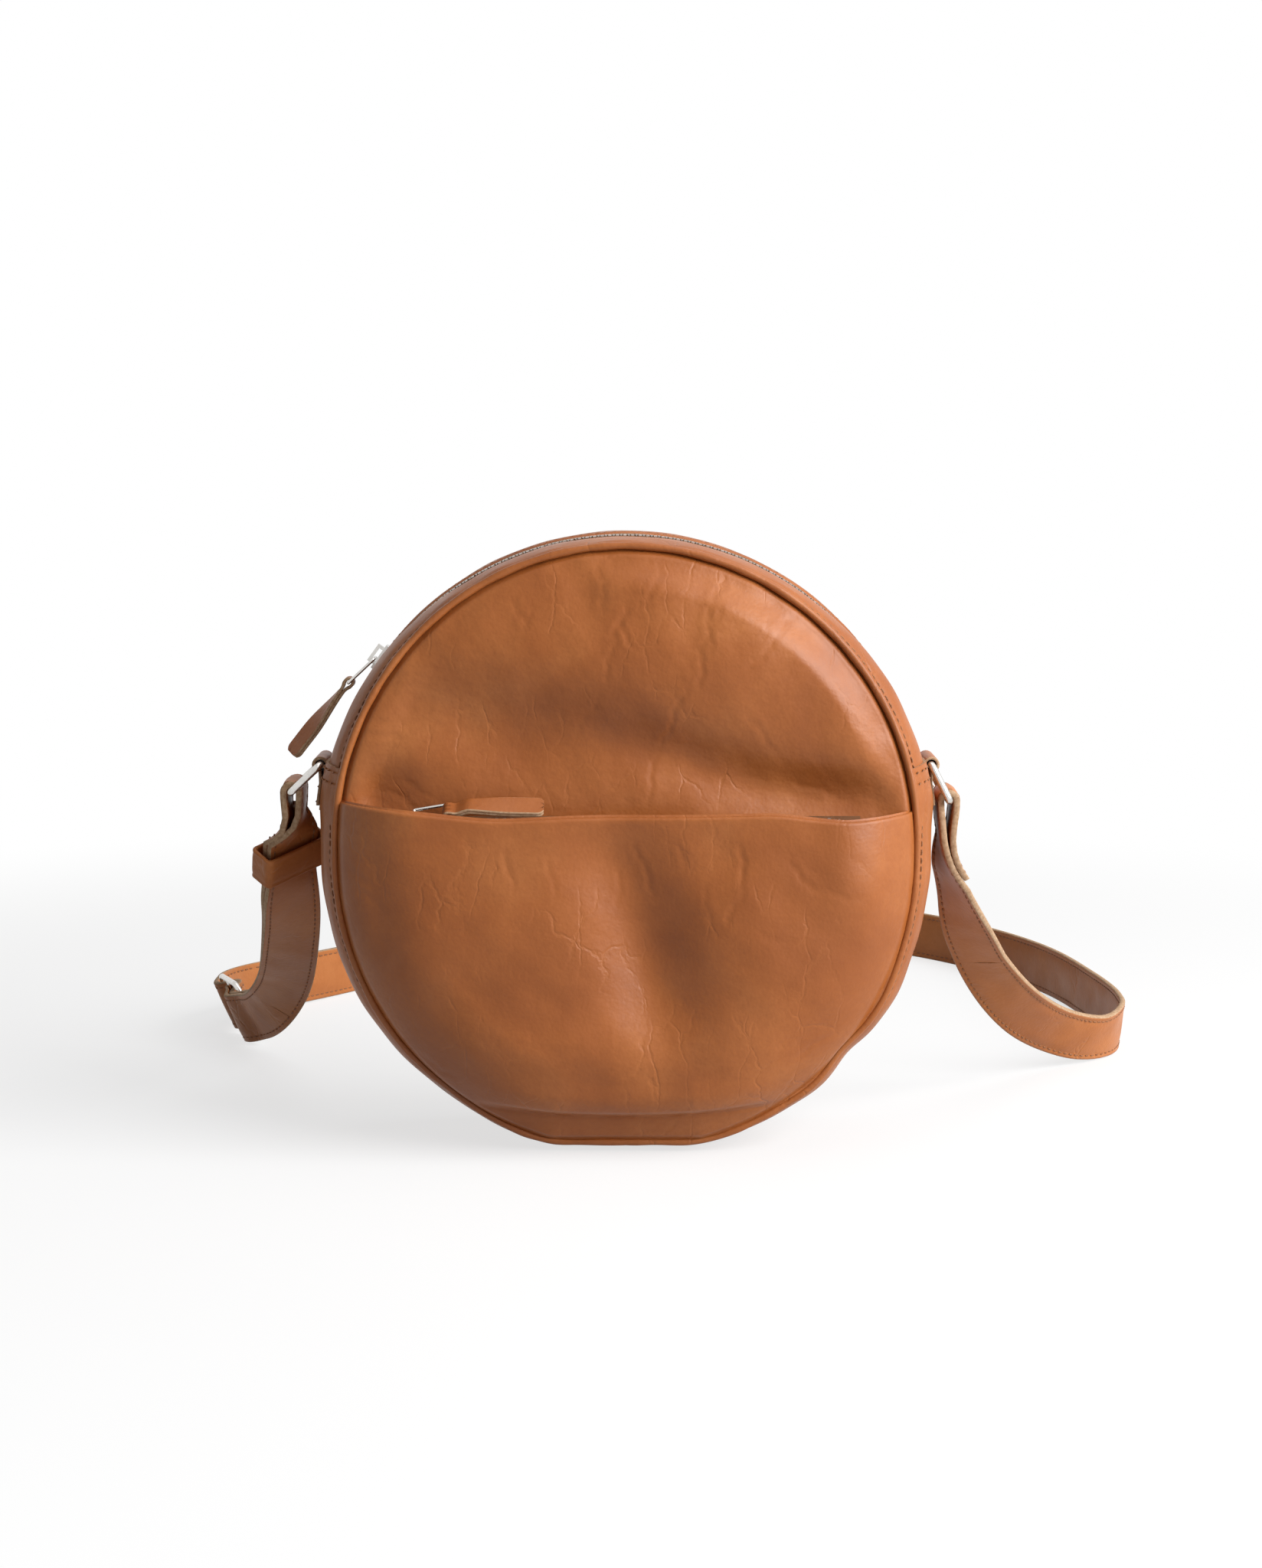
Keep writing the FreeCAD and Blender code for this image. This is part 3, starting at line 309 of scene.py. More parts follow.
def band(name, middles, widths, halves, thicks, materials, groove=0.0, inset=2.4, closed=False, ripple=None):
    """A flat strap through middles, each with the direction of its width. The second material is on
    its cut edges. ripple lifts the face by a function of length and place across."""
    middles = np.asarray(middles, float)
    if closed:
        along = np.roll(middles, -1, axis=0) - np.roll(middles, 1, axis=0)
    else:
        along = np.gradient(middles, axis=0)
    along = unit(along)
    widths = squared(widths, along)
    normals = np.cross(widths, along)
    lengths = run_lengths(middles)
    halves = np.broadcast_to(halves, len(middles))
    thicks = np.broadcast_to(thicks, len(middles))
    rings = []
    for index in range(len(middles)):
        across, height = band_section(halves[index], thicks[index], groove, inset)
        if ripple is not None:
            height = height + ripple(lengths[index], across)
        rings.append(middles[index] + across[:, None] * widths[index] + height[:, None] * normals[index])
    grid = np.array(rings)
    columns = grid.shape[1]
    edges = {0, columns // 2 - 2, columns // 2 - 1, columns // 2, columns - 2, columns - 1}
    if closed:
        grid = np.concatenate([grid, grid[:1]])
    faces = grid_faces(len(grid), columns, 0, True)
    edge_mark = len(materials) - 1
    marks = [edge_mark if index % columns in edges else 0 for index in range(len(faces))]
    count = len(middles) * columns
    if closed:
        faces = [tuple(point % count for point in face) for face in faces]
        grid = grid[:-1]
    else:
        half = columns // 2
        for row in (0, len(grid) - 1):
            start = row * columns
            for column in range(half - 1):
                opposite = columns - 1 - column
                faces.append((start + column, start + column + 1, start + opposite - 1, start + opposite))
                marks.append(edge_mark)
    return new_piece(name, grid.reshape(-1, 3), faces, materials, marks)


# One stitch: places along it, and how thick and how high it is there
STITCH_ALONG = np.array([-0.5, -0.4, 0, 0.4, 0.5])
STITCH_ROUND = np.array([0, 0.8, 1, 0.8, 0])
STITCH_RISE = np.array([-0.9, 0.1, 0.55, 0.1, -0.9])
STITCH_SIDES = 6


def stitches(name, places, alongs, ups, length, material):
    """Separate stitches of thread at places on a face."""
    places, alongs, ups = (np.asarray(part, float).reshape(-1, 3) for part in (places, alongs, ups))
    alongs = unit(alongs)
    ups = squared(ups, alongs)
    across = np.cross(ups, alongs)
    turns = np.arange(STITCH_SIDES) * 2 * math.pi / STITCH_SIDES
    rings = len(STITCH_ALONG)
    offsets = []
    for along, thick, rise in zip(STITCH_ALONG, STITCH_ROUND, STITCH_RISE):
        for turn in turns:
            offsets.append((along * length, thick * THREAD * math.cos(turn),
                            THREAD * (rise + thick * math.sin(turn))))
    offsets = np.array(offsets)
    points = (places[:, None, :] + offsets[None, :, :1] * alongs[:, None, :]
              + offsets[None, :, 1:2] * across[:, None, :] + offsets[None, :, 2:] * ups[:, None, :])
    faces = []
    for index in range(len(places)):
        faces += grid_faces(rings, STITCH_SIDES, index * rings * STITCH_SIDES, True)
    return new_piece(name, points.reshape(-1, 3), faces, [material])


# Materials

class Tree:
    """A tree of shader nodes built step by step."""

    def __init__(self, owner):
        owner.use_nodes = True
        self.nodes = owner.node_tree.nodes
        self.links = owner.node_tree.links

    def put(self, socket, value):
        if isinstance(value, bpy.types.NodeSocket):
            self.links.new(value, socket)
        else:
            socket.default_value = value

    def node(self, kind, inputs=None, **settings):
        node = self.nodes.new(kind)
        for key, value in settings.items():
            setattr(node, key, value)
        for key, value in (inputs or {}).items():
            self.put(node.inputs[key], value)
        return node


class Shader(Tree):
    """A node material with one principled surface."""

    def __init__(self, name):
        self.material = bpy.data.materials.new(name)
        super().__init__(self.material)
        self.surface = self.nodes["Principled BSDF"]

    def place(self):
        return self.node("ShaderNodeTexCoord").outputs["Object"]

    def noise(self, scale, detail=3.0, rough=0.55, warp=0.0):
        inputs = {"Vector": self.place(), "Scale": scale, "Detail": detail}
        inputs.update({"Roughness": rough, "Distortion": warp})
        return self.node("ShaderNodeTexNoise", inputs).outputs["Fac"]

    def ramp(self, factor, stops):
        node = self.node("ShaderNodeValToRGB", {"Fac": factor})
        elements = node.color_ramp.elements
        while len(elements) < len(stops):
            elements.new(0.5)
        for element, (position, colour) in zip(elements, stops):
            element.position = position
            element.color = (*colour, 1)
        return node.outputs["Color"]

    def level(self, factor, low, high, start=0.0, end=1.0):
        inputs = {"Value": factor, "From Min": start, "From Max": end, "To Min": low, "To Max": high}
        return self.node("ShaderNodeMapRange", inputs).outputs["Result"]

    def bump(self, height, strength, depth, under=None):
        inputs = {"Height": height, "Strength": strength, "Distance": depth}
        if under is not None:
            inputs["Normal"] = under
        return self.node("ShaderNodeBump", inputs).outputs["Normal"]

    def mix(self, factor, first, second):
        node = self.node("ShaderNodeMix", {0: factor}, data_type="RGBA", blend_type="MIX")
        for socket, colour in ((6, first), (7, second)):
            self.put(node.inputs[socket], (*colour, 1) if isinstance(colour, tuple) else colour)
        return node.outputs[2]

    def cells(self, place, scale, feature):
        inputs = {"Vector": place, "Scale": scale, "Randomness": 1.0}
        return self.node("ShaderNodeTexVoronoi", inputs, feature=feature).outputs["Distance"]

    def threads(self, place, scale, direction):
        inputs = {"Vector": place, "Scale": scale, "Distortion": 0.6, "Detail": 1.0}
        return self.node("ShaderNodeTexWave", inputs, bands_direction=direction).outputs["Fac"]

    def vector(self, operation, inputs):
        return self.node("ShaderNodeVectorMath", inputs, operation=operation).outputs[0]

    def finish(self, **inputs):
        for key, value in inputs.items():
            self.put(self.surface.inputs[key.replace("_", " ")], value)
        return self.material


def leather_material(name, dark, middle, light, wrinkle, shine):
    """Grained, softly waxed leather with clouds of colour, fine grain and thin, broken wrinkles, with a painted
    highlight along the wrinkles.
    """
    shader = Shader(name)
    clouds = shader.noise(16, 4, 0.55, warp=0.4)
    colour = shader.ramp(clouds, [(0.3, dark), (0.5, middle), (0.72, light)])
    specks = shader.noise(420, 3, 0.6)
    colour = shader.mix(shader.level(specks, 0, 0.3, 0.4, 0.75), colour, dark)
    cells = shader.cells(shader.place(), 760.0, "SMOOTH_F1")
    wander = {"Vector": shader.place(), "Scale": 70.0, "Detail": 4.0}
    sway = shader.node("ShaderNodeTexNoise", wander).outputs["Color"]
    sway = shader.vector("SCALE", {0: sway, "Scale": 0.012})
    drawn = shader.vector("MULTIPLY", {0: shader.place(), 1: (1.3, 1, 0.5)})
    swayed = shader.vector("ADD", {0: drawn, 1: sway})
    wrinkle_web = shader.level(shader.cells(swayed, 62.0, "DISTANCE_TO_EDGE"), 0, 1, 0.0, 0.05)
    shown = shader.level(shader.noise(23, 3, 0.6, warp=0.6), 0, 1, 0.5, 0.66)
    lines = shader.mix(shown, (1, 1, 1), wrinkle_web)
    # Lighter colour along the wrinkle lines: painted highlight on their ridges
    colour = shader.mix(shader.level(lines, 0.22, 0), colour, light)
    normal = shader.bump(lines, wrinkle, 0.0005)
    normal = shader.bump(shader.noise(330, 4, 0.6), 0.22, 0.0004, normal)
    normal = shader.bump(cells, 0.22, 0.0003, normal)
    rough = shader.level(shader.noise(60, 4, 0.6), 0.38, 0.5, 0.3, 0.7)
    return shader.finish(Base_Color=colour, Roughness=rough, Normal=normal, Specular_IOR_Level=shine)


def edge_material():
    """Raw cut edge of the leather: pale, fibrous."""
    shader = Shader("leather_cut_edge")
    fibres = shader.noise(700, 4, 0.7)
    colour = shader.ramp(fibres, [
        (0.3, (0.30, 0.17, 0.09)), (0.55, (0.46, 0.30, 0.18)), (0.8, (0.56, 0.41, 0.28))])
    normal = shader.bump(fibres, 0.35, 0.0003)
    rough = shader.level(shader.noise(90, 3), 0.62, 0.8, 0.3, 0.7)
    return shader.finish(Base_Color=colour, Roughness=rough, Normal=normal, Specular_IOR_Level=0.25)


def thread_material():
    shader = Shader("thread")
    twist = shader.noise(1500, 2, 0.5)
    colour = shader.ramp(twist, [(0.3, (0.19, 0.07, 0.025)), (0.7, (0.34, 0.15, 0.06))])
    normal = shader.bump(twist, 0.4, 0.0002)
    return shader.finish(Base_Color=colour, Roughness=0.7, Normal=normal)


def cloth_material(name, dark, light, scale):
    """Plain woven cloth: crossed threads with a little slub."""
    shader = Shader(name)
    place = shader.place()
    crossed = {0: shader.threads(place, scale, "X"), 1: shader.threads(place, scale, "Z")}
    weave = shader.node("ShaderNodeMath", crossed, operation="MULTIPLY").outputs[0]
    slub = shader.noise(90, 4, 0.6)
    colour = shader.mix(shader.level(slub, 0, 1, 0.3, 0.7), dark, light)
    colour = shader.mix(shader.level(weave, 0.35, 0), colour, dark)
    normal = shader.bump(weave, 0.35, 0.0003)
    rough = shader.level(slub, 0.75, 0.92, 0.3, 0.7)
    return shader.finish(Base_Color=colour, Roughness=rough, Normal=normal, Specular_IOR_Level=0.2)


def metal_material(name, dark, light, smooth_rough, worn_rough):
    """Satin metal with faint polishing marks."""
    shader = Shader(name)
    marks = shader.noise(260, 4, 0.6, warp=0.5)
    colour = shader.ramp(marks, [(0.3, dark), (0.7, light)])
    rough = shader.level(marks, smooth_rough, worn_rough, 0.3, 0.7)
    normal = shader.bump(shader.noise(900, 3), 0.06, 0.0002)
    return shader.finish(Base_Color=colour, Metallic=1.0, Roughness=rough, Normal=normal)


DARK = (0.26, 0.070, 0.013)
MIDDLE = (0.34, 0.100, 0.021)
LIGHT = (0.42, 0.140, 0.036)
STRAP_DARK = (0.40, 0.13, 0.036)
STRAP_MIDDLE = (0.49, 0.172, 0.052)
STRAP_LIGHT = (0.57, 0.22, 0.074)
leather = leather_material("leather", DARK, MIDDLE, LIGHT, 0.3, 0.4)
strap_leather = leather_material("strap_leather", STRAP_DARK, STRAP_MIDDLE, STRAP_LIGHT, 0.4, 0.18)
cut_edge = edge_material()
thread = thread_material()
tape_cloth = cloth_material("zip_tape_cloth", (0.13, 0.055, 0.024), (0.24, 0.11, 0.05), 1500)
lining_cloth = cloth_material("lining_cloth", (0.36, 0.27, 0.17), (0.52, 0.42, 0.29), 900)
nickel = metal_material("nickel", (0.56, 0.54, 0.51), (0.74, 0.72, 0.69), 0.18, 0.34)
# Darker copy of nickel for the pocket zip's teeth: painted shade that holds back the key light's reflection in
# them
shaded_nickel = metal_material("nickel_painted_shade", (0.24, 0.225, 0.21), (0.36, 0.34, 0.32), 0.45, 0.6)


def on_body(piece, body, *nodes, slot="leather"):
    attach(piece, body)
    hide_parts(*nodes)


def on_bag(piece, *nodes, slot="leather"):
    on_body(piece, "bag", *nodes, slot=slot)


def on_lip(piece, *nodes, slot="leather"):
    """A piece of the mouth's front lip: it is left unattached where it lies, with its CAD nodes hidden."""
    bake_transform(piece)
    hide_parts(*nodes)


def on_half(side, piece, node, slot="leather"):
    """The front half of the mouth is left unattached as part of the lip, and the rear half rides on the bag."""
    if side < 0:
        on_lip(piece, node, slot=slot)
    else:
        on_bag(piece, node, slot=slot)


# Soft shape of the leather

def swells(x, z, marks):
    """Soft swells and hollows: place, half-width, half-height, turn in degrees and height of each."""
    total = np.zeros_like(x)
    for across, height, wide, tall, turn, rise in marks:
        angle = math.radians(turn)
        along = (x - across) * math.cos(angle) + (z - height) * math.sin(angle)
        aside = (z - height) * math.cos(angle) - (x - across) * math.sin(angle)
        total += rise * np.exp(-(along / wide) ** 2 - (aside / tall) ** 2)
    return total


CREASE_DEPTH = 0.42
CREASE_WIDTH = 1.35
CREASE_WOBBLE = 0.7


def creases(x, z, lines):
    """Fine creases along short lines: a narrow groove between two low ridges, fading at its ends."""
    total = np.zeros_like(x)
    for index, (x0, z0, x1, z1, depth, wide) in enumerate(lines):
        length = math.hypot(x1 - x0, z1 - z0)
        ax, az = (x1 - x0) / length, (z1 - z0) / length
        along = (x - x0) * ax + (z - z0) * az
        aside = (z - z0) * ax - (x - x0) * az
        wave = np.sin(along * 0.4 + index * 1.7) + 0.5 * np.sin(along * 1.1 + index * 2.9)
        aside = aside + CREASE_WOBBLE * wave
        fade = smooth(-1, length * 0.25, along) * (1 - smooth(length * 0.7, length + 1, along))
        wide = wide * CREASE_WIDTH
        groove = np.exp(-(aside / wide) ** 2)
        ridge = np.exp(-((np.abs(aside) - 2 * wide) / wide) ** 2)
        total += CREASE_DEPTH * depth * fade * (0.3 * ridge - groove)
    return total


def ripples(x, z, scale, seed):
    """Gentle unevenness of soft leather, from a few crossed waves."""
    total = np.zeros_like(x)
    for index in range(7):
        turn = seed + index * 2.399
        reach = scale * (0.6 + 0.22 * index)
        phase = (x * math.cos(turn) + z * math.sin(turn)) / reach * 2 * math.pi
        total += np.sin(phase + seed * 3 + index * index) * (1 - 0.08 * index)
    return total / 7


def disc_places(spokes, set_in, out):
    """Places (x, z) on a round panel along its spokes, at shares of the way out to its rim."""
    share = (np.arange(spokes) + 0.5) / spokes
    rim_x, rim_z, _, _ = rim(share, seam_drop(share) + set_in)
    middle = (LOWER_CENTRE + UPPER_CENTRE) / 2
    return share, rim_x[None, :] * out, middle + (rim_z[None, :] - middle) * out


def panel_grid(side, crown, marks, lines, seed):
    """Outer face of a round panel, from its middle to its rim tucked into the seam."""
    out = np.linspace(0.01, 1, PANEL_RINGS)[:, None] ** 0.85
    share, x, z = disc_places(PANEL_SPOKES, SEAM_GAP, out)
    room = (1 - out) * GUSSET_RADIUS
    rise = crown * (1 - out ** 5) * np.ones_like(x)
    free = smooth(2, 16, room) * np.ones_like(x)
    rise += free * (swells(x, z, marks) + 0.35 * ripples(x, z, 26, seed))
    rise += smooth(1, 6, room) * (creases(x, z, lines) + 0.1 * ripples(x, z, 7, seed + 1))
    pucker = np.sin(share * OUTLINE_LENGTH / 5.2 + 2 * np.sin(share * 60))[None, :]
    rise += 0.25 * pucker * np.exp(-((room - 3.5) / 3) ** 2)
    rise -= 2.2 * (1 - smooth(0, 2.6, room))
    y = side * (SEAM_HALF + LEATHER + rise)
    return np.stack([x, y, z], axis=2)


# Swells: place x, z, half-width, half-height, turn and height. Creases: ends x, z and x, z, depth and width.
FRONT_SWELLS = [
    (36, 200, 62, 34, 10, 8.0), (94, 172, 18, 36, 10, 2.6), (-44, 203, 34, 24, 0, 2.0),
    (-50, 168, 42, 18, -14, -6.2), (24, 157, 44, 12, -18, -4.8), (78, 143, 32, 11, -4, -5.4),
    (-100, 143, 24, 12, 8, -4.8), (-42, 213, 26, 12, 30, -1.6), (14, 227, 26, 10, 0, 1.4),
    (-16, 224, 8, 16, 10, -1.0), (28, 212, 7, 22, -12, -0.9),
]
FRONT_CREASES = [
    (-10.5, 236, -8, 212, 0.5, 0.8), (14.5, 236, 8, 214, 0.6, 0.8), (39, 229, 33, 218, 0.7, 0.8),
    (34, 220, 29.5, 200, 0.7, 0.8), (30, 202, 28, 184, 0.5, 0.8), (37, 222, 31, 196, 0.5, 0.7),
    (69, 216, 58, 206, 0.7, 0.8), (62, 208, 46, 192, 0.7, 0.8), (56.5, 213, 52, 203, 0.4, 0.7),
    (1, 218, -6, 203, 0.6, 0.8), (-3, 211, 4, 200, 0.5, 0.7), (-44, 221, -39, 209, 0.4, 0.7),
    (-36, 214, -41, 206, 0.35, 0.7), (24, 188, 12, 158, 0.45, 0.8), (12, 160, 8, 138, 0.35, 0.8),
    (-2, 214, -9, 184, 0.4, 0.8), (-9, 184, -20, 166, 0.35, 0.8), (-106, 174, -80, 169, 0.4, 0.7),
    (-104, 168, -84, 164, 0.35, 0.7), (-96, 146, -78, 136, 0.5, 0.8), (-90, 150, -72, 141, 0.35, 0.7),
    (60, 150, 92, 139, 0.35, 0.8), (86, 176, 100, 160, 0.3, 0.8), (46, 176, 60, 158, 0.3, 0.8),
]
BACK_SWELLS = [
    (30, 180, 40, 30, 0, 2.4), (-40, 150, 40, 30, 20, -3.0), (20, 90, 50, 26, -15, 2.0),
    (-50, 70, 26, 34, 10, 2.0), (60, 60, 24, 30, -20, -2.6), (0, 215, 40, 10, 0, -1.6),
    (-80, 120, 16, 40, 0, 1.6),
]
BACK_CREASES = [
    (-30, 232, -22, 206, 0.5, 0.8), (8, 236, 4, 208, 0.5, 0.8), (44, 226, 34, 202, 0.6, 0.8),
    (-62, 210, -46, 190, 0.5, 0.8), (70, 206, 56, 186, 0.5, 0.8), (-96, 96, -70, 84, 0.5, 0.8),
    (88, 72, 62, 62, 0.5, 0.8), (20, 150, 12, 118, 0.35, 0.8),
]
# Direction from the front to the rear
REARWARD = np.array([0.0, 1.0, 0.0])

for name, side, *shape in (
        ("front_panel", -1, FRONT_CROWN, FRONT_SWELLS, FRONT_CREASES, 0.4),
        ("back_panel", 1, BACK_CROWN, BACK_SWELLS, BACK_CREASES, 1.9)):
    panel = sheet(
        name + "_leather", panel_grid(side, *shape), LEATHER, -side * REARWARD, [leather, cut_edge],
        wrap=True)
    on_half(side, panel, name)


# Front pocket: a full, sagging panel with a turned top edge and a fold above its lower seam

POCKET_SWELLS = [
    (8, 84, 16, 38, 14, -7.4), (52, 86, 26, 36, 8, 4.8), (-44, 84, 34, 30, 0, 2.2),
    (-6, 118, 16, 14, 0, -2.2), (92, 112, 20, 22, 0, 2.6), (-98, 104, 18, 26, 0, -2.2),
    (-72, 56, 18, 22, -30, -1.6), (36, 122, 14, 12, 0, -1.2), (-10, 46, 60, 14, 0, 2.6),
    (70, 48, 20, 18, 30, -2.4),
]
POCKET_CREASES = [
    (3, 127, 12, 104, 0.6, 0.8), (44, 127, 45.5, 108, 0.6, 0.8), (45.5, 110, 38, 94, 0.45, 0.8),
    (-47, 125, -43, 108, 0.45, 0.8), (-2, 118, -4, 98, 0.4, 0.8), (20, 127, 23, 116, 0.45, 0.8),
    (62, 119, 76, 106, 0.45, 0.8), (-110, 118, -97, 106, 0.5, 0.8), (-106, 108, -94, 100, 0.4, 0.8),
    (74, 108, 96, 104, 0.35, 0.8), (30, 112, 33, 92, 0.35, 0.7), (-30, 122, -27, 104, 0.3, 0.7),
    (-86, 42, -66, 32, 0.5, 0.8), (84, 52, 64, 40, 0.5, 0.8), (50, 92, 66, 88, 0.3, 0.8),
]
FOLD_HALF = 56
FOLD_HEIGHT = 17
HEM_ROLL = 1.5
HEM_DROPS = (11, 7, 3, 0.5)
RIM_SINK = 34
POCKET_ROUND = 36
POCKET_FILL = 2.3


def pocket_grid():
    """The pocket's face, from its left edge to its right, with the hem above it."""
    inset = SEAM_DROP + SEAM_GAP
    half = np.linspace(0, 0.5, 2000)
    top_share = np.interp(POCKET_TOP + POCKET_ENDS, rim(half, seam_drop(half) + SEAM_GAP)[1], half)
    base_share = BASE_HALF / OUTLINE_LENGTH
    share = np.linspace(top_share, base_share, POCKET_ROWS)
    right_x, right_z, _, _ = rim(share, seam_drop(share) + SEAM_GAP)
    left_x, left_z, _, _ = rim(1 - share, seam_drop(share) + SEAM_GAP)
    across = np.linspace(-1, 1, POCKET_COLUMNS)[None, :]
    part = (across + 1) / 2
    x = left_x[:, None] + (right_x - left_x)[:, None] * part
    z = left_z[:, None] + (right_z - left_z)[:, None] * part
    sink = np.exp(-((right_z[0] - right_z) / RIM_SINK) ** 2)[:, None]
    dip = POCKET_BOW * (1 - across ** 2) + 2 * np.exp(-((x + 52) / 24) ** 2)
    dip = dip + POCKET_RIGHT_DIP * smooth(52, 90, x)
    z = z - dip * sink
    room = edge_distance(x, z, inset)
    rise = POCKET_CROWN * (1 - (1 - np.clip(room / POCKET_ROUND, 0, 1)) ** POCKET_FILL)
    fold = FOLD_HEIGHT + 4 * (x / FOLD_HALF) ** 2
    held = np.exp(-(x / FOLD_HALF) ** 8)
    rise *= 1 - held * (1 - smooth(fold - 1.6, fold + 2.4, z)) * 0.5
    rise += held * 1.2 * np.exp(-((z - fold - 7) / 6) ** 2)
    rise -= held * 0.9 * np.exp(-((z - fold + 0.6) / 1.1) ** 2)
    free = smooth(3, 18, room)
    rise += free * (swells(x, z, POCKET_SWELLS) + 0.3 * ripples(x, z, 24, 0.9))
    rise += smooth(1, 6, room) * (creases(x, z, POCKET_CREASES) + 0.08 * ripples(x, z, 7, 2.2))
    rise -= 1.6 * (1 - smooth(0, 2.4, room))
    y = -(SEAM_HALF + 2 * LEATHER + SEAM_GAP + rise)
    face = np.stack([x, y, z], axis=2)
    over = np.radians([20, 45, 70, 95, 120, 145, 165])
    hem = [face[0] + HEM_ROLL * np.array([0, 1 + math.cos(turn), math.sin(turn)]) for turn in over]
    inside = [face[0] + np.array([0, 2 * HEM_ROLL + 0.2, -drop]) for drop in HEM_DROPS]
    return np.concatenate([np.array(inside), np.array(hem), face])


pocket = sheet("pocket_leather", pocket_grid(), POCKET_PLY, REARWARD, [leather, cut_edge])
on_bag(pocket, "front_pocket_panel")


# Gusset: lower halves round the base and sides, upper strips either side of the zip

BAG_MIDDLE = np.array([0, 0, UPPER_CENTRE])
FLOOR_GAP = 0.05
LAP = 9 / OUTLINE_LENGTH
LAP_RISE = 1.3
LIP_SAG = 1.4
# Rows of stitches: distance from the seam and from the zip's window, and depth sewn in
SEAM_ROW = 3.6
ZIP_ROW = 2.6
SEWN_IN = 0.45


def gusset_fall(across):
    """How far the gusset falls away towards its seams."""
    shoulder_run = SEAM_HALF - GUSSET_FLAT
    shoulder = (shoulder_run ** 2 + SEAM_DROP ** 2) / (2 * SEAM_DROP)
    run = np.maximum(np.abs(across) - GUSSET_FLAT, 0)
    return shoulder - np.sqrt(shoulder ** 2 - run ** 2)


def gusset_grid(shares, across, lift):
    """Outer face of a band of the gusset, with small puckers beside its seams."""
    length = shares * OUTLINE_LENGTH
    edge = SEAM_HALF - np.abs(across)
    puckers = 0.28 * np.sin(length / 4.6 + 1.5 * np.sin(length / 23))[:, None]
    puckers = puckers * np.exp(-((edge - 5) / 4) ** 2)[None, :]
    waves = 0.5 * ripples(*np.meshgrid(length, across, indexing="ij"), 31, 0.7)
    groove = -SEWN_IN * np.exp(-((edge - SEAM_ROW) / 0.9) ** 2)[None, :]
    rise = np.reshape(lift, (len(shares), -1)) + (puckers + waves * smooth(0, 8, edge)[None, :] + groove)
    fall = gusset_fall(across)[None, :] * (seam_drop(shares) / SEAM_DROP)[:, None] - rise
    x, z = sunk([part[:, None] for part in rim(shares, 0)], fall)
    y = np.broadcast_to(across[None, :], x.shape)
    return np.stack([x, y, np.maximum(z, FLOOR_GAP)], axis=2)


def lip_sag(shares, across):
    """How far the front lip sinks over the top, between its seam and the zip."""
    over_top = smooth(0.32, 0.42, np.minimum(shares, 1 - shares))
    return LIP_SAG * over_top[:, None] * smooth(0, 12, SEAM_HALF - np.abs(across))[None, :]


full_across = np.linspace(-SEAM_HALF, SEAM_HALF, GUSSET_COLUMNS)
for name, first, last in (("right", 0.0, SPLIT + LAP), ("left", 1.0, 1 - SPLIT - LAP)):
    shares = np.linspace(first, last, GUSSET_ROWS)
    lap = LAP_RISE * smooth(SPLIT - 2 * LAP, SPLIT - 0.4 * LAP, np.minimum(shares, 1 - shares))
    grid = gusset_grid(shares, full_across, lap)
    band_piece = sheet(
        "gusset_lower_%s_leather" % name, grid, GUSSET_PLY, BAG_MIDDLE - grid, [leather, cut_edge])
    on_bag(band_piece, "gusset_lower_" + name)

top_shares = np.linspace(SPLIT + 0.3 * SEAM_GAP / OUTLINE_LENGTH, 1 - SPLIT, TOP_ROWS)
for name, side in HALVES:
    edge = ZIP_WINDOW + np.array([0.8, 0.4, 0.15, 0])
    across = side * np.concatenate([np.linspace(SEAM_HALF, ZIP_WINDOW + 1.2, TOP_COLUMNS), edge])
    turned = -0.9 * (1 - smooth(ZIP_WINDOW, ZIP_WINDOW + 1.6, np.abs(across)))
    sewn = -0.3 * np.exp(-((np.abs(across) - ZIP_WINDOW - ZIP_ROW) / 0.8) ** 2)
    lift = np.tile(turned + sewn, (len(top_shares), 1))
    if side < 0:
        lift = lift - lip_sag(top_shares, across)
    grid = gusset_grid(top_shares, across, lift)
    strip = sheet("gusset_top_%s_leather" % name, grid, GUSSET_PLY, BAG_MIDDLE - grid, [leather, cut_edge])
    on_half(side, strip, "gusset_top_" + name)

# Welts along the two seams
for name, side in HALVES:
    shares = np.arange(WELT_ROWS) / WELT_ROWS
    set_off = (WELT_RADIUS - 0.25) * math.sqrt(0.5)
    x, z, out_x, out_z = rim(shares, seam_drop(shares) - set_off)
    length = shares * OUTLINE_LENGTH
    wander = 0.18 * np.sin(length / 7.3) * np.sin(length / 31)
    centres = np.stack([x, side * (SEAM_HALF + set_off + wander), z], axis=1)
    outward = np.stack([out_x, 0 * x, out_z], axis=1)
    radius = WELT_RADIUS * (1 + 0.07 * np.sin(length / 3.1 + np.sin(length / 9)))
    welt = tube("%s_welt" % name, centres, outward, side * sideways(len(x)), radius, WELT_SIDES, [leather])
    on_half(side, welt, name + "_piping")


def gusset_row(shares, across, lift=0.0):
    """Places, directions along and outward directions of a row of stitches on the gusset."""
    base = rim(shares, 0)
    x, z, out_x, out_z = base
    fall = gusset_fall(np.array([across]))[0] * seam_drop(shares) / SEAM_DROP - lift + SEWN_IN
    low_x, low_z = sunk(base, fall)
    places = np.stack([low_x, np.full_like(x, across), low_z], axis=1)
    tilt = np.sign(across) * smooth(GUSSET_FLAT, SEAM_HALF, abs(across)) * 0.6
    ups = unit(np.stack([out_x, np.full_like(x, tilt), out_z], axis=1))
    ends = rim(shares + 0.0005, 0)
    alongs = np.stack([ends[0] - x, 0 * x, ends[1] - z], axis=1)
    return places, alongs, ups


def joined(rows):
    return [np.concatenate(part) for part in zip(*rows)]


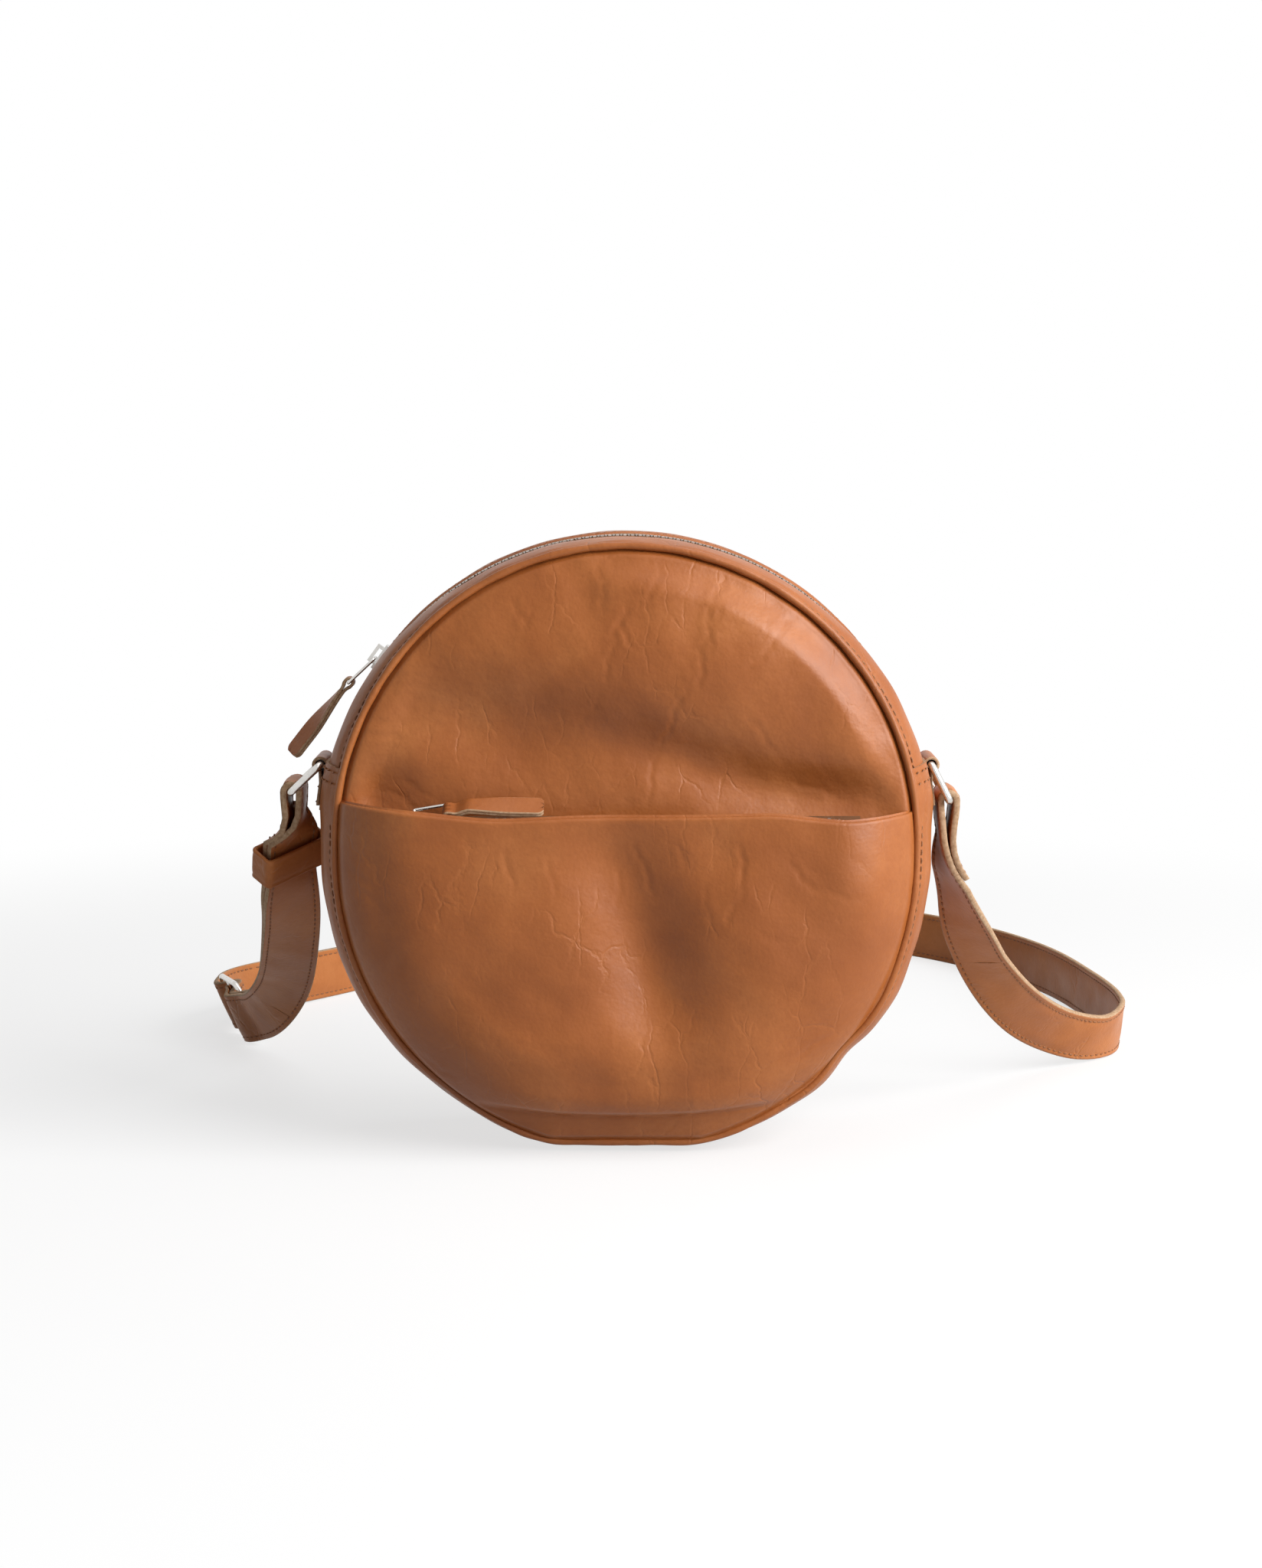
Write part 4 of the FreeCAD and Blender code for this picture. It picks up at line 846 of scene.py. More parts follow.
STITCH_PITCH = 3.4
STITCH_LENGTH = 2.6
lower_right = np.arange(0.002, SPLIT - 0.002, STITCH_PITCH / OUTLINE_LENGTH)
upper = np.arange(SPLIT + LAP, 1 - SPLIT - LAP, STITCH_PITCH / OUTLINE_LENGTH)
seam_row = SEAM_HALF - SEAM_ROW
zip_row = ZIP_WINDOW + ZIP_ROW
halves = (lower_right, 1 - lower_right)
lower_rows = [gusset_row(part, side * seam_row) for part in halves for side in (-1, 1)]
on_bag(stitches("gusset_lower_stitches", *joined(lower_rows), STITCH_LENGTH, thread))
rear_rows = [gusset_row(upper, seam_row), gusset_row(upper, zip_row)]
on_bag(stitches("gusset_rear_stitches", *joined(rear_rows), STITCH_LENGTH, thread))
sag = -lip_sag(upper, np.array([seam_row, zip_row]))
front_rows = [gusset_row(upper, -seam_row, sag[:, 0]), gusset_row(upper, -zip_row, sag[:, 1])]
on_lip(stitches("gusset_front_stitches", *joined(front_rows), STITCH_LENGTH, thread))

# Two rows of stitches across each lap of the lower gusset over the upper one
lap_rows = []
for side in (1, -1):
    for back in (0.25, 0.75):
        share = SPLIT + LAP * (1 - back)
        across = np.arange(-SEAM_HALF + 3, SEAM_HALF - 2.5, STITCH_PITCH)
        base = rim(np.full_like(across, share), 0)
        x, z = sunk(base, gusset_fall(across) * seam_drop(share) / SEAM_DROP - LAP_RISE + 0.15)
        places = np.stack([side * x, across, z], axis=1)
        ups = np.stack([side * base[2], 0 * across, base[3]], axis=1)
        lap_rows.append((places, sideways(len(across)), ups))
on_bag(stitches("gusset_lap_stitches", *joined(lap_rows), STITCH_LENGTH, thread))


# Lining: cloth on the inner faces of both panels and round the gusset

def lining_disc(side):
    out = np.linspace(0.01, 1, LINING_RINGS)[:, None]
    _, x, z = disc_places(LINING_SPOKES, 2 * LEATHER, out)
    slack = 1.2 * ripples(x, z, 60, 1.3) * (1 - out ** 4)
    y = side * (SEAM_HALF - 0.8 - 1.0 * (1 - out ** 6)) - side * np.abs(slack)
    return np.stack([x, y * np.ones_like(x), z], axis=2)


for name, side in (("lining_front", -1), ("lining_back", 1)):
    cloth = sheet(
        name + "_cloth", lining_disc(side), LINING_CLOTH, side * REARWARD, [lining_cloth], wrap=True)
    on_half(side, cloth, name, slot="lining")
LINING_INSET = 2.2
lining_across = np.linspace(-SEAM_HALF + LINING_INSET, SEAM_HALF - LINING_INSET, LINING_COLUMNS)
lining_shares = np.linspace(-SPLIT, SPLIT, LINING_ROWS) % 1.0
lining_fall = gusset_fall(lining_across)[None, :] * (seam_drop(lining_shares) / SEAM_DROP)[:, None]
x, z = sunk([part[:, None] for part in rim(lining_shares, LINING_INSET)], lining_fall)
lining_grid = np.stack([x, np.broadcast_to(lining_across[None, :], x.shape), z], axis=2)
gusset_lining = sheet(
    "lining_gusset_cloth", lining_grid, LINING_CLOTH, BAG_MIDDLE - lining_grid, [lining_cloth])
on_bag(gusset_lining, "lining_gusset", slot="lining")


# Zips: woven tapes, which meet past the stops. The front half of the main zip is left unattached, with the lip.

TAPE_EDGE = 2.7
TAPE_JOINED = 0.05
TAPE_FAR = 14
TAPE_TURN = 11.5
TAPE_MEET_RIGHT = (16.2, 18.2)
TAPE_MEET_LEFT = (28.3, 30.8)
degrees = np.linspace(TAPE_TURN, 180 - TAPE_TURN, MAIN_TAPE_ROWS)
turns = np.radians(degrees)
parted = (smooth(*TAPE_MEET_RIGHT, degrees) * smooth(*TAPE_MEET_LEFT, 180 - degrees))[:, None]
for name, side in HALVES:
    edge = TAPE_JOINED + (TAPE_EDGE - TAPE_JOINED) * parted
    across = side * (edge + np.array([0, 0.07, 0.14, 0.28, 0.45, 0.7, 1])[None, :] * (TAPE_FAR - edge))
    cordlet = np.array([0.35, 0.45, 0.1, 0, 0, 0, 0])[None, :] * parted
    radius = TAPE_RADIUS + TAPE_CLOTH / 2 + cordlet
    x = np.cos(turns)[:, None] * radius
    z = UPPER_CENTRE + np.sin(turns)[:, None] * radius
    grid = np.stack([x, across, z], axis=2)
    tape = sheet("main_zip_tape_%s_cloth" % name, grid, TAPE_CLOTH, BAG_MIDDLE - grid, [tape_cloth])
    on_half(side, tape, "main_zip_tape_" + name, slot="zip_tape")

# The front row of teeth is a copy of the CAD row, left unattached with the lip
front_row = bpy.data.objects.new("main_zip_front_row", frame["nodes"]["main_zip_teeth_front"].data.copy())
bpy.context.scene.collection.objects.link(front_row)
front_row.data.materials.clear()
front_row.data.materials.append(nickel)
on_lip(front_row, "main_zip_teeth_front", slot="metal")

POCKET_ZIP_TILT = math.radians(30)
pocket_low, pocket_high = span("pocket_zip_tape_upper")
zip_rows = [sum(span("pocket_zip_teeth_" + row)) / 2 for row in ("upper", "lower")]
zip_middle = (zip_rows[0] + zip_rows[1]) / 2
zip_out = np.array([0, -math.sin(POCKET_ZIP_TILT), math.cos(POCKET_ZIP_TILT)])
zip_across = np.array([0, math.cos(POCKET_ZIP_TILT), math.sin(POCKET_ZIP_TILT)])
tape_x = np.linspace(pocket_low[0], pocket_high[0], POCKET_TAPE_ROWS)
for name, side in (("upper", 1), ("lower", -1)):
    across = side * np.array([TAPE_EDGE, TAPE_EDGE + 0.5, TAPE_EDGE + 1, 4.4, 5.4])
    lift = TAPE_CLOTH / 2 + np.array([0.3, 0.35, 0.1, 0, 0])
    grid = (tape_x[:, None, None] * np.array([1.0, 0, 0]) + np.array([0, zip_middle[1], zip_middle[2]])
            + across[None, :, None] * zip_across + lift[None, :, None] * zip_out)
    tape = sheet("pocket_zip_tape_%s_cloth" % name, grid, TAPE_CLOTH, -zip_out, [tape_cloth])
    on_bag(tape, "pocket_zip_tape_" + name, slot="zip_tape")


# Leather pulls: a strip folded round the link's far bar, its two plies glued together

PULL_LENGTH = 37
PULL_PLY = 1.25
PULL_EYE = 0.95
PULL_NECK = 3.35
PULL_FLARE = 0.75
PULL_TIP = 2.4


def pull_piece(name, node, body, origin, along, up, lift, curl, twist):
    """A folded pull in the frame of its link: along points to its tip, up out of its face, which
    turns by the twist towards the tip. It lies higher than the link's bar by the lift."""
    along = unit(along)
    width = np.cross(up, along)
    up = unit(np.cross(along, width))
    gap = PULL_PLY / 2 + 0.02
    eye = PULL_EYE + PULL_PLY / 2
    far = np.linspace(PULL_LENGTH, 5, PULL_ROWS)
    lower = [(x, -gap) for x in far]
    neck = [(3.6, -gap * 1.05), (2.4, -gap * 1.5), (1.2, -eye * 0.95)]
    round_bar = np.radians(range(-75, -286, -15))
    loop = [(eye * math.cos(turn), eye * math.sin(turn)) for turn in round_bar]
    neck_up = [(x, -z) for x, z in reversed(neck)]
    upper = [(x, gap) for x in far[::-1]]
    path = np.array(lower + neck + loop + neck_up + upper)
    reach = np.maximum(path[:, 0], 0)
    bend = lift * smooth(1, 9, reach) + curl * (reach / PULL_LENGTH) ** 2
    turn = twist * smooth(1, 26, reach)[:, None]
    faces = up * np.cos(turn) + width * np.sin(turn)
    widths = width * np.cos(turn) - up * np.sin(turn)
    middles = origin + path[:, :1] * along + path[:, 1:] * faces + bend[:, None] * up
    halves = PULL_NECK + PULL_FLARE * smooth(4, 24, reach)
    tip = np.clip((reach - (PULL_LENGTH - PULL_TIP)) / PULL_TIP, 0, 1)
    halves = halves * np.sqrt(1 - 0.6 * tip ** 2)
    piece = band(name, middles, widths, halves, PULL_PLY, [leather, cut_edge], inset=1.4)
    on_body(piece, body, node)


MAIN_PULL_TURN = math.radians(7)
MAIN_PULL_TWIST = math.radians(40)
MAIN_PULL_CURL = -0.8
POCKET_PULL_TWIST = math.radians(-12)
POCKET_PULL_CURL = -0.6
POCKET_PULL_LIFT = 2.6
main_link = joint_place("main_link_swing")
main_pull = joint_place("main_pull_swing")
link_way = unit(main_pull - main_link)
link_up = np.array([link_way[2], 0, -link_way[0]])
pull_way = link_way * math.cos(MAIN_PULL_TURN) - link_up * math.sin(MAIN_PULL_TURN)
pull_piece(
    "main_zip_pull_leather", "main_zip_leather_pull", "main_zip_tab", main_pull, pull_way, link_up, 0,
    MAIN_PULL_CURL, MAIN_PULL_TWIST)
pocket_pull = joint_place("pocket_pull_swing")
pull_piece(
    "pocket_zip_pull_leather", "pocket_zip_leather_pull", "pocket_zip_tab", pocket_pull,
    np.array([1.0, 0, 0]), zip_out, POCKET_PULL_LIFT, POCKET_PULL_CURL, POCKET_PULL_TWIST)


# Ring tabs: a strip sewn to the gusset, rolled round the ring's bar and sewn down on itself

TAB_HALF = 12
TAB_PLY = 1.2
TAB_LIFT = 0.9
TAB_GAP = 0.15
TAB_PITCH = 3.0
TAB_STITCH = 2.3
TAB_ROWS = (6.9, 4.1)
RING_PLAY = 2.7


def on_arc(reach, turn):
    """Place (x, z) at a distance from the middle of the bag's round top."""
    return reach * math.cos(turn), UPPER_CENTRE + reach * math.sin(turn)


for side, name in ((1, "right"), (-1, "left")):
    bar = joint_place("ring_%s_swing" % name)
    tilt = math.atan2(bar[2] - UPPER_CENTRE, abs(bar[0]))
    inner_ply = GUSSET_RADIUS + TAB_LIFT
    outer_ply = inner_ply + TAB_PLY + TAB_GAP
    strip = [on_arc(inner_ply, tilt - math.radians(angle)) for angle in np.linspace(8.3, 1.9, 9)]
    roll = []
    for turn in np.radians(np.arange(205, -118, -18)):
        angle = tilt + turn
        roll.append((abs(bar[0]) + RING_PLAY * math.cos(angle), bar[2] + RING_PLAY * math.sin(angle)))
    back = [on_arc(outer_ply, turn) for turn in tilt - np.radians([3.3, 4.5, 5.5, 6.5, 7.5])]
    flat = np.array(strip + roll + back)
    middles = np.stack([side * flat[:, 0], np.zeros(len(flat)), flat[:, 1]], axis=1)
    tab = band(
        "ring_tab_%s_leather" % name, middles, sideways(len(flat)), TAB_HALF, TAB_PLY, [leather, cut_edge],
        inset=1.8)
    on_bag(tab, "ring_tab_" + name)
    face = outer_ply + TAB_PLY / 2
    across = np.arange(-TAB_HALF + 2, TAB_HALF - 1.5, TAB_PITCH)
    rows = []
    for angle in tilt - np.radians(TAB_ROWS):
        x, z = on_arc(face, angle)
        places = np.array([side * x, 0, z]) + across[:, None] * REARWARD
        ups = np.tile([side * math.cos(angle), 0, math.sin(angle)], (len(across), 1))
        rows.append((places, sideways(len(across)), ups))
    on_bag(stitches("ring_tab_%s_stitches" % name, *joined(rows), TAB_STITCH, thread))


# Shoulder strap: middle line and width directions from the right ring round the back to the left ring

STRAP_HALF = 12
STRAP_THICK = 2.5
STRAP_SKIVED = 1.2
STRAP_TAB = 30
BUCKLE_REACH = 14
BUCKLE_WIRE = 1.3
RING_WIRE = 1.5
PLAY = 0.3
FLOOR_LIFT = 12.2
UPRIGHT = (0, 0, 1)
# Stations of the strap: place and direction of its width
RIGHT_FALL = [
    ((133, 10, 104.5), (0.13, -0.93, 0.34)),
    ((139.4, 26, 84.5), (0.32, -0.86, 0.38)),
    ((147.6, 46, 66), (0.5, -0.76, 0.36)),
    ((159, 66, 48), (0.68, -0.5, 0.45)),
    ((175.5, 90, 30), (0.74, -0.2, 0.6)),
    ((193, 112, 18.5), (0.64, -0.2, 0.72)),
    ((211, 130, 12.4), (0.45, -0.22, 0.86)),
    ((222.5, 147, FLOOR_LIFT), (0.2, -0.1, 0.97)),
    ((227.5, 169, FLOOR_LIFT), (0.05, 0, 1)),
]
FLOOR_RUN = [
    (227.5, 196), (223.5, 231), (214, 287), (193.5, 343), (157, 399), (118, 431), (71, 447), (22, 446),
    (-27, 428), (-71, 396), (-106, 353), (-134, 309),
]
LEFT_BEND = [
    ((-158, 275, 12.6), (-0.05, 0, 1)),
    ((-177, 246, 13.6), (-0.2, 0, 0.98)),
    ((-187.6, 219, 14.8), (-0.36, 0, 0.93)),
]
BACK_RUN = RIGHT_FALL + [((x, y, FLOOR_LIFT), UPRIGHT) for x, y in FLOOR_RUN] + LEFT_BEND
BUCKLE_RUN = [
    ((-187.2, 198.7, 15.6), (-0.42, 0, 0.91)),
    ((-180, 180, 16.2), (-0.42, 0, 0.91)),
    ((-172.8, 161.3, 16.8), (-0.42, 0, 0.91)),
]
LEFT_RISE = [
    ((-163.2, 138, 23), (-0.64, -0.05, 0.74)),
    ((-152.5, 111, 38.5), (-0.93, -0.05, 0.31)),
    ((-146.5, 84, 53.5), (-0.95, -0.22, 0.15)),
    ((-142, 57, 71), (-0.87, -0.45, 0.12)),
    ((-139, 34, 88), (-0.78, -0.6, 0.06)),
]
KEEPER_RUN = [
    ((-137.6, 17, 103.5), (-0.66, -0.75, 0)),
    ((-136.6, 11.2, 112.5), (-0.66, -0.75, 0)),
    ((-135.2, 5.4, 121.5), (-0.66, -0.75, 0)),
]


def ring_seat(name):
    """Middle of the ring's far bar, below the bar that it turns on."""
    mount = next(item for item in frame["record"]["mounts"] if item["name"] == "strap_ring_" + name)
    return np.array(mount["pos_m"]) / MM


def natural_spline(knots, places, samples):
    """Points of a smooth line through places, with no bend at its ends."""
    count = len(knots)
    steps = np.diff(knots)
    system = np.eye(count)
    right = np.zeros((count, places.shape[1]))
    for index in range(1, count - 1):
        system[index, index - 1] = steps[index - 1]
        system[index, index] = 2 * (steps[index - 1] + steps[index])
        system[index, index + 1] = steps[index]
        rise = np.diff(places[index - 1:index + 2], axis=0) / steps[index - 1:index + 1, None]
        right[index] = 6 * (rise[1] - rise[0])
    bends = np.linalg.solve(system, right)
    slot = np.clip(np.searchsorted(knots, samples) - 1, 0, count - 2)
    step = steps[slot][:, None]
    ahead = (knots[slot + 1] - samples)[:, None]
    behind = (samples - knots[slot])[:, None]
    return (bends[slot] * ahead ** 3 + bends[slot + 1] * behind ** 3) / (6 * step) + (
        places[slot] / step - bends[slot] * step / 6) * ahead + (
        places[slot + 1] / step - bends[slot + 1] * step / 6) * behind


LINE_POINTS = 6000
LOOK_AHEAD = 0.4


class StrapLine:
    """The strap's middle line by length, with its width direction and its normal."""

    def __init__(self):
        drop = np.array([0, 0, -STRAP_TAB / 4])
        level = (0, -1, 0)
        runs = BACK_RUN + BUCKLE_RUN + LEFT_RISE + KEEPER_RUN
        start = [(ring_seat("right") + drop * step, level) for step in (-1, 0, 1, 2)]
        finish = [(ring_seat("left") + drop * step, level) for step in (1.4, 0.7, 0, -1)]
        stations = start + runs + finish
        places = np.array([place for place, width in stations], float)
        widths = unit([width for place, width in stations])
        knots = run_lengths(places)
        fine = np.linspace(knots[0], knots[-1], LINE_POINTS)
        self.points = natural_spline(knots, places, fine)
        lengths = run_lengths(self.points)
        at = np.interp(knots, fine, lengths)
        self.lengths = lengths - at[1]
        self.marks = at - at[1]
        self.widths = widths
        self.length = self.marks[-2]
        self.buckle_at = self.marks[len(start) + len(BACK_RUN) + 1]
        self.keeper_at = self.marks[len(stations) - len(finish) - 2]

    def at(self, length):
        """Place, width direction, normal and direction along at lengths of the strap."""
        length = np.clip(np.asarray(length, float), 0, self.length)
        place, ahead, behind = (
            between(length + shift, self.lengths, self.points) for shift in (0, LOOK_AHEAD, -LOOK_AHEAD))
        along = unit(ahead - behind)
        width = squared(between(length, self.marks, self.widths), along)
        return place, width, np.cross(width, along), along


def eased(table, at):
    """Values eased between the places of a short table."""
    places = np.array([place for place, value in table], float)
    values = np.array([value for place, value in table], float)
    at = np.clip(np.asarray(at, float), places[0], places[-1])
    slot = np.clip(np.searchsorted(places, at, side="right") - 1, 0, len(places) - 2)
    share = (at - places[slot]) / (places[slot + 1] - places[slot])
    share = share * share * (3 - 2 * share)
    return values[slot] + (values[slot + 1] - values[slot]) * share


strap = StrapLine()
FOLD = RING_WIRE + 0.4 + STRAP_THICK / 2
PLY_OFFSET = (STRAP_THICK + PLAY) / 2
buckle_at = strap.buckle_at
weave_low = -(BUCKLE_WIRE + PLAY + STRAP_THICK / 2)
weave_eye = BUCKLE_WIRE + PLAY + STRAP_SKIVED / 2
weave_high = weave_eye + STRAP_SKIVED / 2 + PLAY + STRAP_THICK / 2
doubled = buckle_at + 2.2 * BUCKLE_REACH
right_neck = STRAP_TAB * 0.7
left_neck = strap.length - STRAP_TAB * 0.8
# Plies of the strap: lengths, and how far each ply lies off the middle line there
outer_run = [
    (0, -FOLD), (right_neck, -PLY_OFFSET), (STRAP_TAB, -PLY_OFFSET), (2 * STRAP_TAB, 0),
    (buckle_at - 2 * BUCKLE_REACH, 0), (buckle_at - BUCKLE_REACH, weave_low), (buckle_at, weave_high),
    (buckle_at + BUCKLE_REACH, weave_low), (doubled, PLY_OFFSET), (left_neck, PLY_OFFSET),
    (strap.length, FOLD),
]
under_run = [
    (buckle_at, -weave_eye), (buckle_at + BUCKLE_REACH, weave_low - STRAP_THICK - PLAY),
    (doubled, -PLY_OFFSET), (left_neck, -PLY_OFFSET), (strap.length, -FOLD),
]
tab_run = [(0, FOLD), (right_neck, PLY_OFFSET), (STRAP_TAB, PLY_OFFSET)]
eye_run = [(0, weave_eye), (1, weave_eye)]
thin = [(0, STRAP_SKIVED), (1, STRAP_SKIVED)]
shaved = [(buckle_at + 0.4 * BUCKLE_REACH, STRAP_SKIVED), (buckle_at + BUCKLE_REACH, STRAP_THICK)]


def layer(lengths, offsets, gauge=None):
    """Stations of one ply: middles, width directions and thicknesses."""
    lengths = np.asarray(lengths, float)
    place, width, normal, _ = strap.at(lengths)
    thick = np.full(len(lengths), STRAP_THICK) if gauge is None else eased(gauge, lengths)
    return place + normal * eased(offsets, lengths)[:, None], width, thick


def turn_back(length, radius, sign, thick):
    """Stations half round a bar, from one side of the strap to the other."""
    place, width, normal, along = strap.at(length)
    away = along if length >= strap.length else -along
    turns = np.radians(np.arange(15, 180, 15))[:, None]
    middles = place + normal * (sign * radius * np.cos(turns)) + away * (radius * np.sin(turns))
    return middles, np.tile(width, (len(turns), 1)), np.full(len(turns), thick)


def steps(low, high, step):
    return np.linspace(low, high, max(int(abs(high - low) / step), 2) + 1)


def strap_ripple(length, across):
    """Unevenness of a worn strap, the same on both faces."""
    edge = 1 - smooth(6, STRAP_HALF, np.abs(across))
    fine = np.sin(length / 3.7 + across / 6 + 2 * np.sin(length / 17))
    return 0.16 * edge * (fine + np.sin(length / 9.1 - across / 4))


# Steps between the strap's stations
FINE, MEDIUM, COARSE = 1.5, 3, 4
STRAP_GROOVE = 0.28
STRAP_ROW = 2.4
STRAP_PITCH = 3.6
STRAP_STITCH = 2.7
STITCH_SINK = 0.26


def strap_piece(name, layers, body, other=None, start=0, end=0):
    """One stretch of the strap with its rows of stitches on both faces. It rides on a body; given another body, it
    is left unattached where it lies. start and end, two lengths of the strap, are not used."""
    middles, widths, thicks = (np.concatenate(part) for part in zip(*layers))
    piece = band(
        name, middles, widths, STRAP_HALF, thicks, [strap_leather, cut_edge], STRAP_GROOVE, STRAP_ROW,
        ripple=strap_ripple)
    along = unit(np.gradient(middles, axis=0))
    widths = squared(widths, along)
    lines = (middles, widths, np.cross(widths, along), along)
    lengths = run_lengths(middles)
    marks = np.arange(2.0, lengths[-1] - 1, STRAP_PITCH)
    middle, width, normal, way = (between(marks, lengths, line) for line in lines)
    thick = np.interp(marks, lengths, thicks)[:, None]
    rows = []
    for side in (-1, 1):
        for face in (-1, 1):
            spots = middle + side * (STRAP_HALF - STRAP_ROW) * width
            spots = spots + face * (thick / 2 - STITCH_SINK) * normal
            rows.append((spots, way, face * normal))
    sewing = stitches(name + "_stitches", *joined(rows), STRAP_STITCH, thread)
    for part in (piece, sewing):
        if other:
            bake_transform(part)
        else:
            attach(part, body)
    return piece


RING_HOLD = 10
RING_FREE = 78
LEFT_HOLD = 4
KEEPER_PART = 11
BUCKLE_HOLD = 18
BUCKLE_FREE = 62
right_cut = RING_FREE + 20
near_cut = buckle_at - BUCKLE_FREE
far_cut = buckle_at + BUCKLE_FREE
right_end = strap_piece("strap_right_end", [
    layer(steps(STRAP_TAB, 0, MEDIUM), tab_run), turn_back(0, FOLD, 1, STRAP_THICK),
    layer(steps(0, right_cut, MEDIUM), outer_run)], "ring_right", "bag", RING_HOLD, RING_FREE)
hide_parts("shoulder_strap")
strap_piece("strap_back", [layer(steps(right_cut, near_cut, COARSE), outer_run)], "bag")
strap_piece(
    "strap_into_buckle", [layer(steps(near_cut, buckle_at, FINE), outer_run)],
    "bag", "strap_buckle", near_cut, buckle_at - BUCKLE_HOLD)
past_buckle = ("strap_buckle", "bag", buckle_at + BUCKLE_HOLD, far_cut)
strap_piece("strap_out_of_buckle", [layer(steps(buckle_at, far_cut, FINE), outer_run)], *past_buckle)
strap_piece("strap_left_end", [
    layer(steps(far_cut, strap.length, MEDIUM), outer_run),
    turn_back(strap.length, FOLD, 1, STRAP_THICK),
    layer(steps(strap.length, far_cut, MEDIUM), under_run)],
    "bag", "ring_left", strap.keeper_at + KEEPER_PART, strap.length - LEFT_HOLD)
strap_piece("strap_buckle_loop", [
    layer(steps(far_cut, buckle_at, FINE), under_run, shaved),
    turn_back(buckle_at, weave_eye, -1, STRAP_SKIVED),
    layer(steps(buckle_at, buckle_at + BUCKLE_REACH / 4, FINE), eye_run, thin)], *past_buckle)

# Keeper: a leather loop round both plies
KEEPER_HALF = 7
KEEPER_WALL = 1.6
KEEPER_PLAY = 1.8
KEEPER_ROOM = 2.0
KEEPER_CORNER = 1.8
KEEPER_GROOVE = 0.15
KEEPER_ROW = 1.8
place, width, normal, way = strap.at(strap.keeper_at)
wide = STRAP_HALF + KEEPER_PLAY + KEEPER_WALL / 2
deep = STRAP_THICK + PLAY / 2 + KEEPER_ROOM + KEEPER_WALL / 2
loop = []
for sign_w, sign_n, first in ((1, 1, 0), (-1, 1, 90), (-1, -1, 180), (1, -1, 270)):
    corner = np.array([sign_w * (wide - KEEPER_CORNER), sign_n * (deep - KEEPER_CORNER)])
    for turn in np.radians(np.arange(first, first + 91, 18)):
        loop.append(corner + KEEPER_CORNER * np.array([math.cos(turn), math.sin(turn)]))
loop = np.array(loop)
filled = []
for first, second in zip(loop, np.roll(loop, -1, axis=0)):
    count = max(int(np.linalg.norm(second - first) / 2), 1)
    filled += [first + (second - first) * index / count for index in range(count)]
filled = np.array(filled)
middles = place + filled[:, :1] * width + filled[:, 1:] * normal
keeper = band(
    "strap_keeper_leather", middles, np.tile(way, (len(middles), 1)), KEEPER_HALF, KEEPER_WALL,
    [strap_leather], KEEPER_GROOVE, KEEPER_ROW, closed=True)
on_body(keeper, "strap_keeper", "strap_keeper")

# Metal nodes of the CAD stay, in nickel, with duller teeth on the pocket zip: rougher, and darker as a painted
# shade that holds back the key light's reflection in them
for name, node in frame["nodes"].items():
    if not node.hide_render:
        node.data.materials.clear()
        node.data.materials.append(shaded_nickel if name.startswith("pocket_zip_teeth") else nickel)


# Stage: white floor, soft light from the right, camera of the photograph

WORLD_SEEN = 1.0
WORLD_LIT = 0.09
FLOOR_SIZE = 12
FLOOR_LIT = (0.5, 0.5, 0.5, 1)
FLOOR_SEEN = (0.28, 0.28, 0.28, 1)
FLOOR_GLOW = 0.7
WHITE_MIDDLE = (0, 0.15, 0)
WHITE_FROM = 0.35
WHITE_AT = 0.8


def light_path_mix(tree, seen, lit):
    """Shader for what the camera and mirrors see, and shader for what lights the object."""
    rays = tree.node("ShaderNodeLightPath").outputs
    direct = {0: rays["Is Camera Ray"], 1: rays["Is Glossy Ray"]}
    direct = tree.node("ShaderNodeMath", direct, operation="MAXIMUM").outputs[0]
    through = {0: direct, 1: rays["Is Transmission Ray"]}
    through = tree.node("ShaderNodeMath", through, operation="MAXIMUM").outputs[0]
    return tree.node("ShaderNodeMixShader", {0: through, 1: lit, 2: seen}).outputs[0]


world = bpy.data.worlds.new("studio")
bpy.context.scene.world = world
tree = Tree(world)
tree.nodes.clear()
seen = tree.node("ShaderNodeBackground", {"Color": (1, 1, 1, 1), "Strength": WORLD_SEEN}).outputs[0]
lit = tree.node("ShaderNodeBackground", {"Color": (1, 0.99, 0.98, 1), "Strength": WORLD_LIT}).outputs[0]
tree.node("ShaderNodeOutputWorld", {"Surface": light_path_mix(tree, seen, lit)})

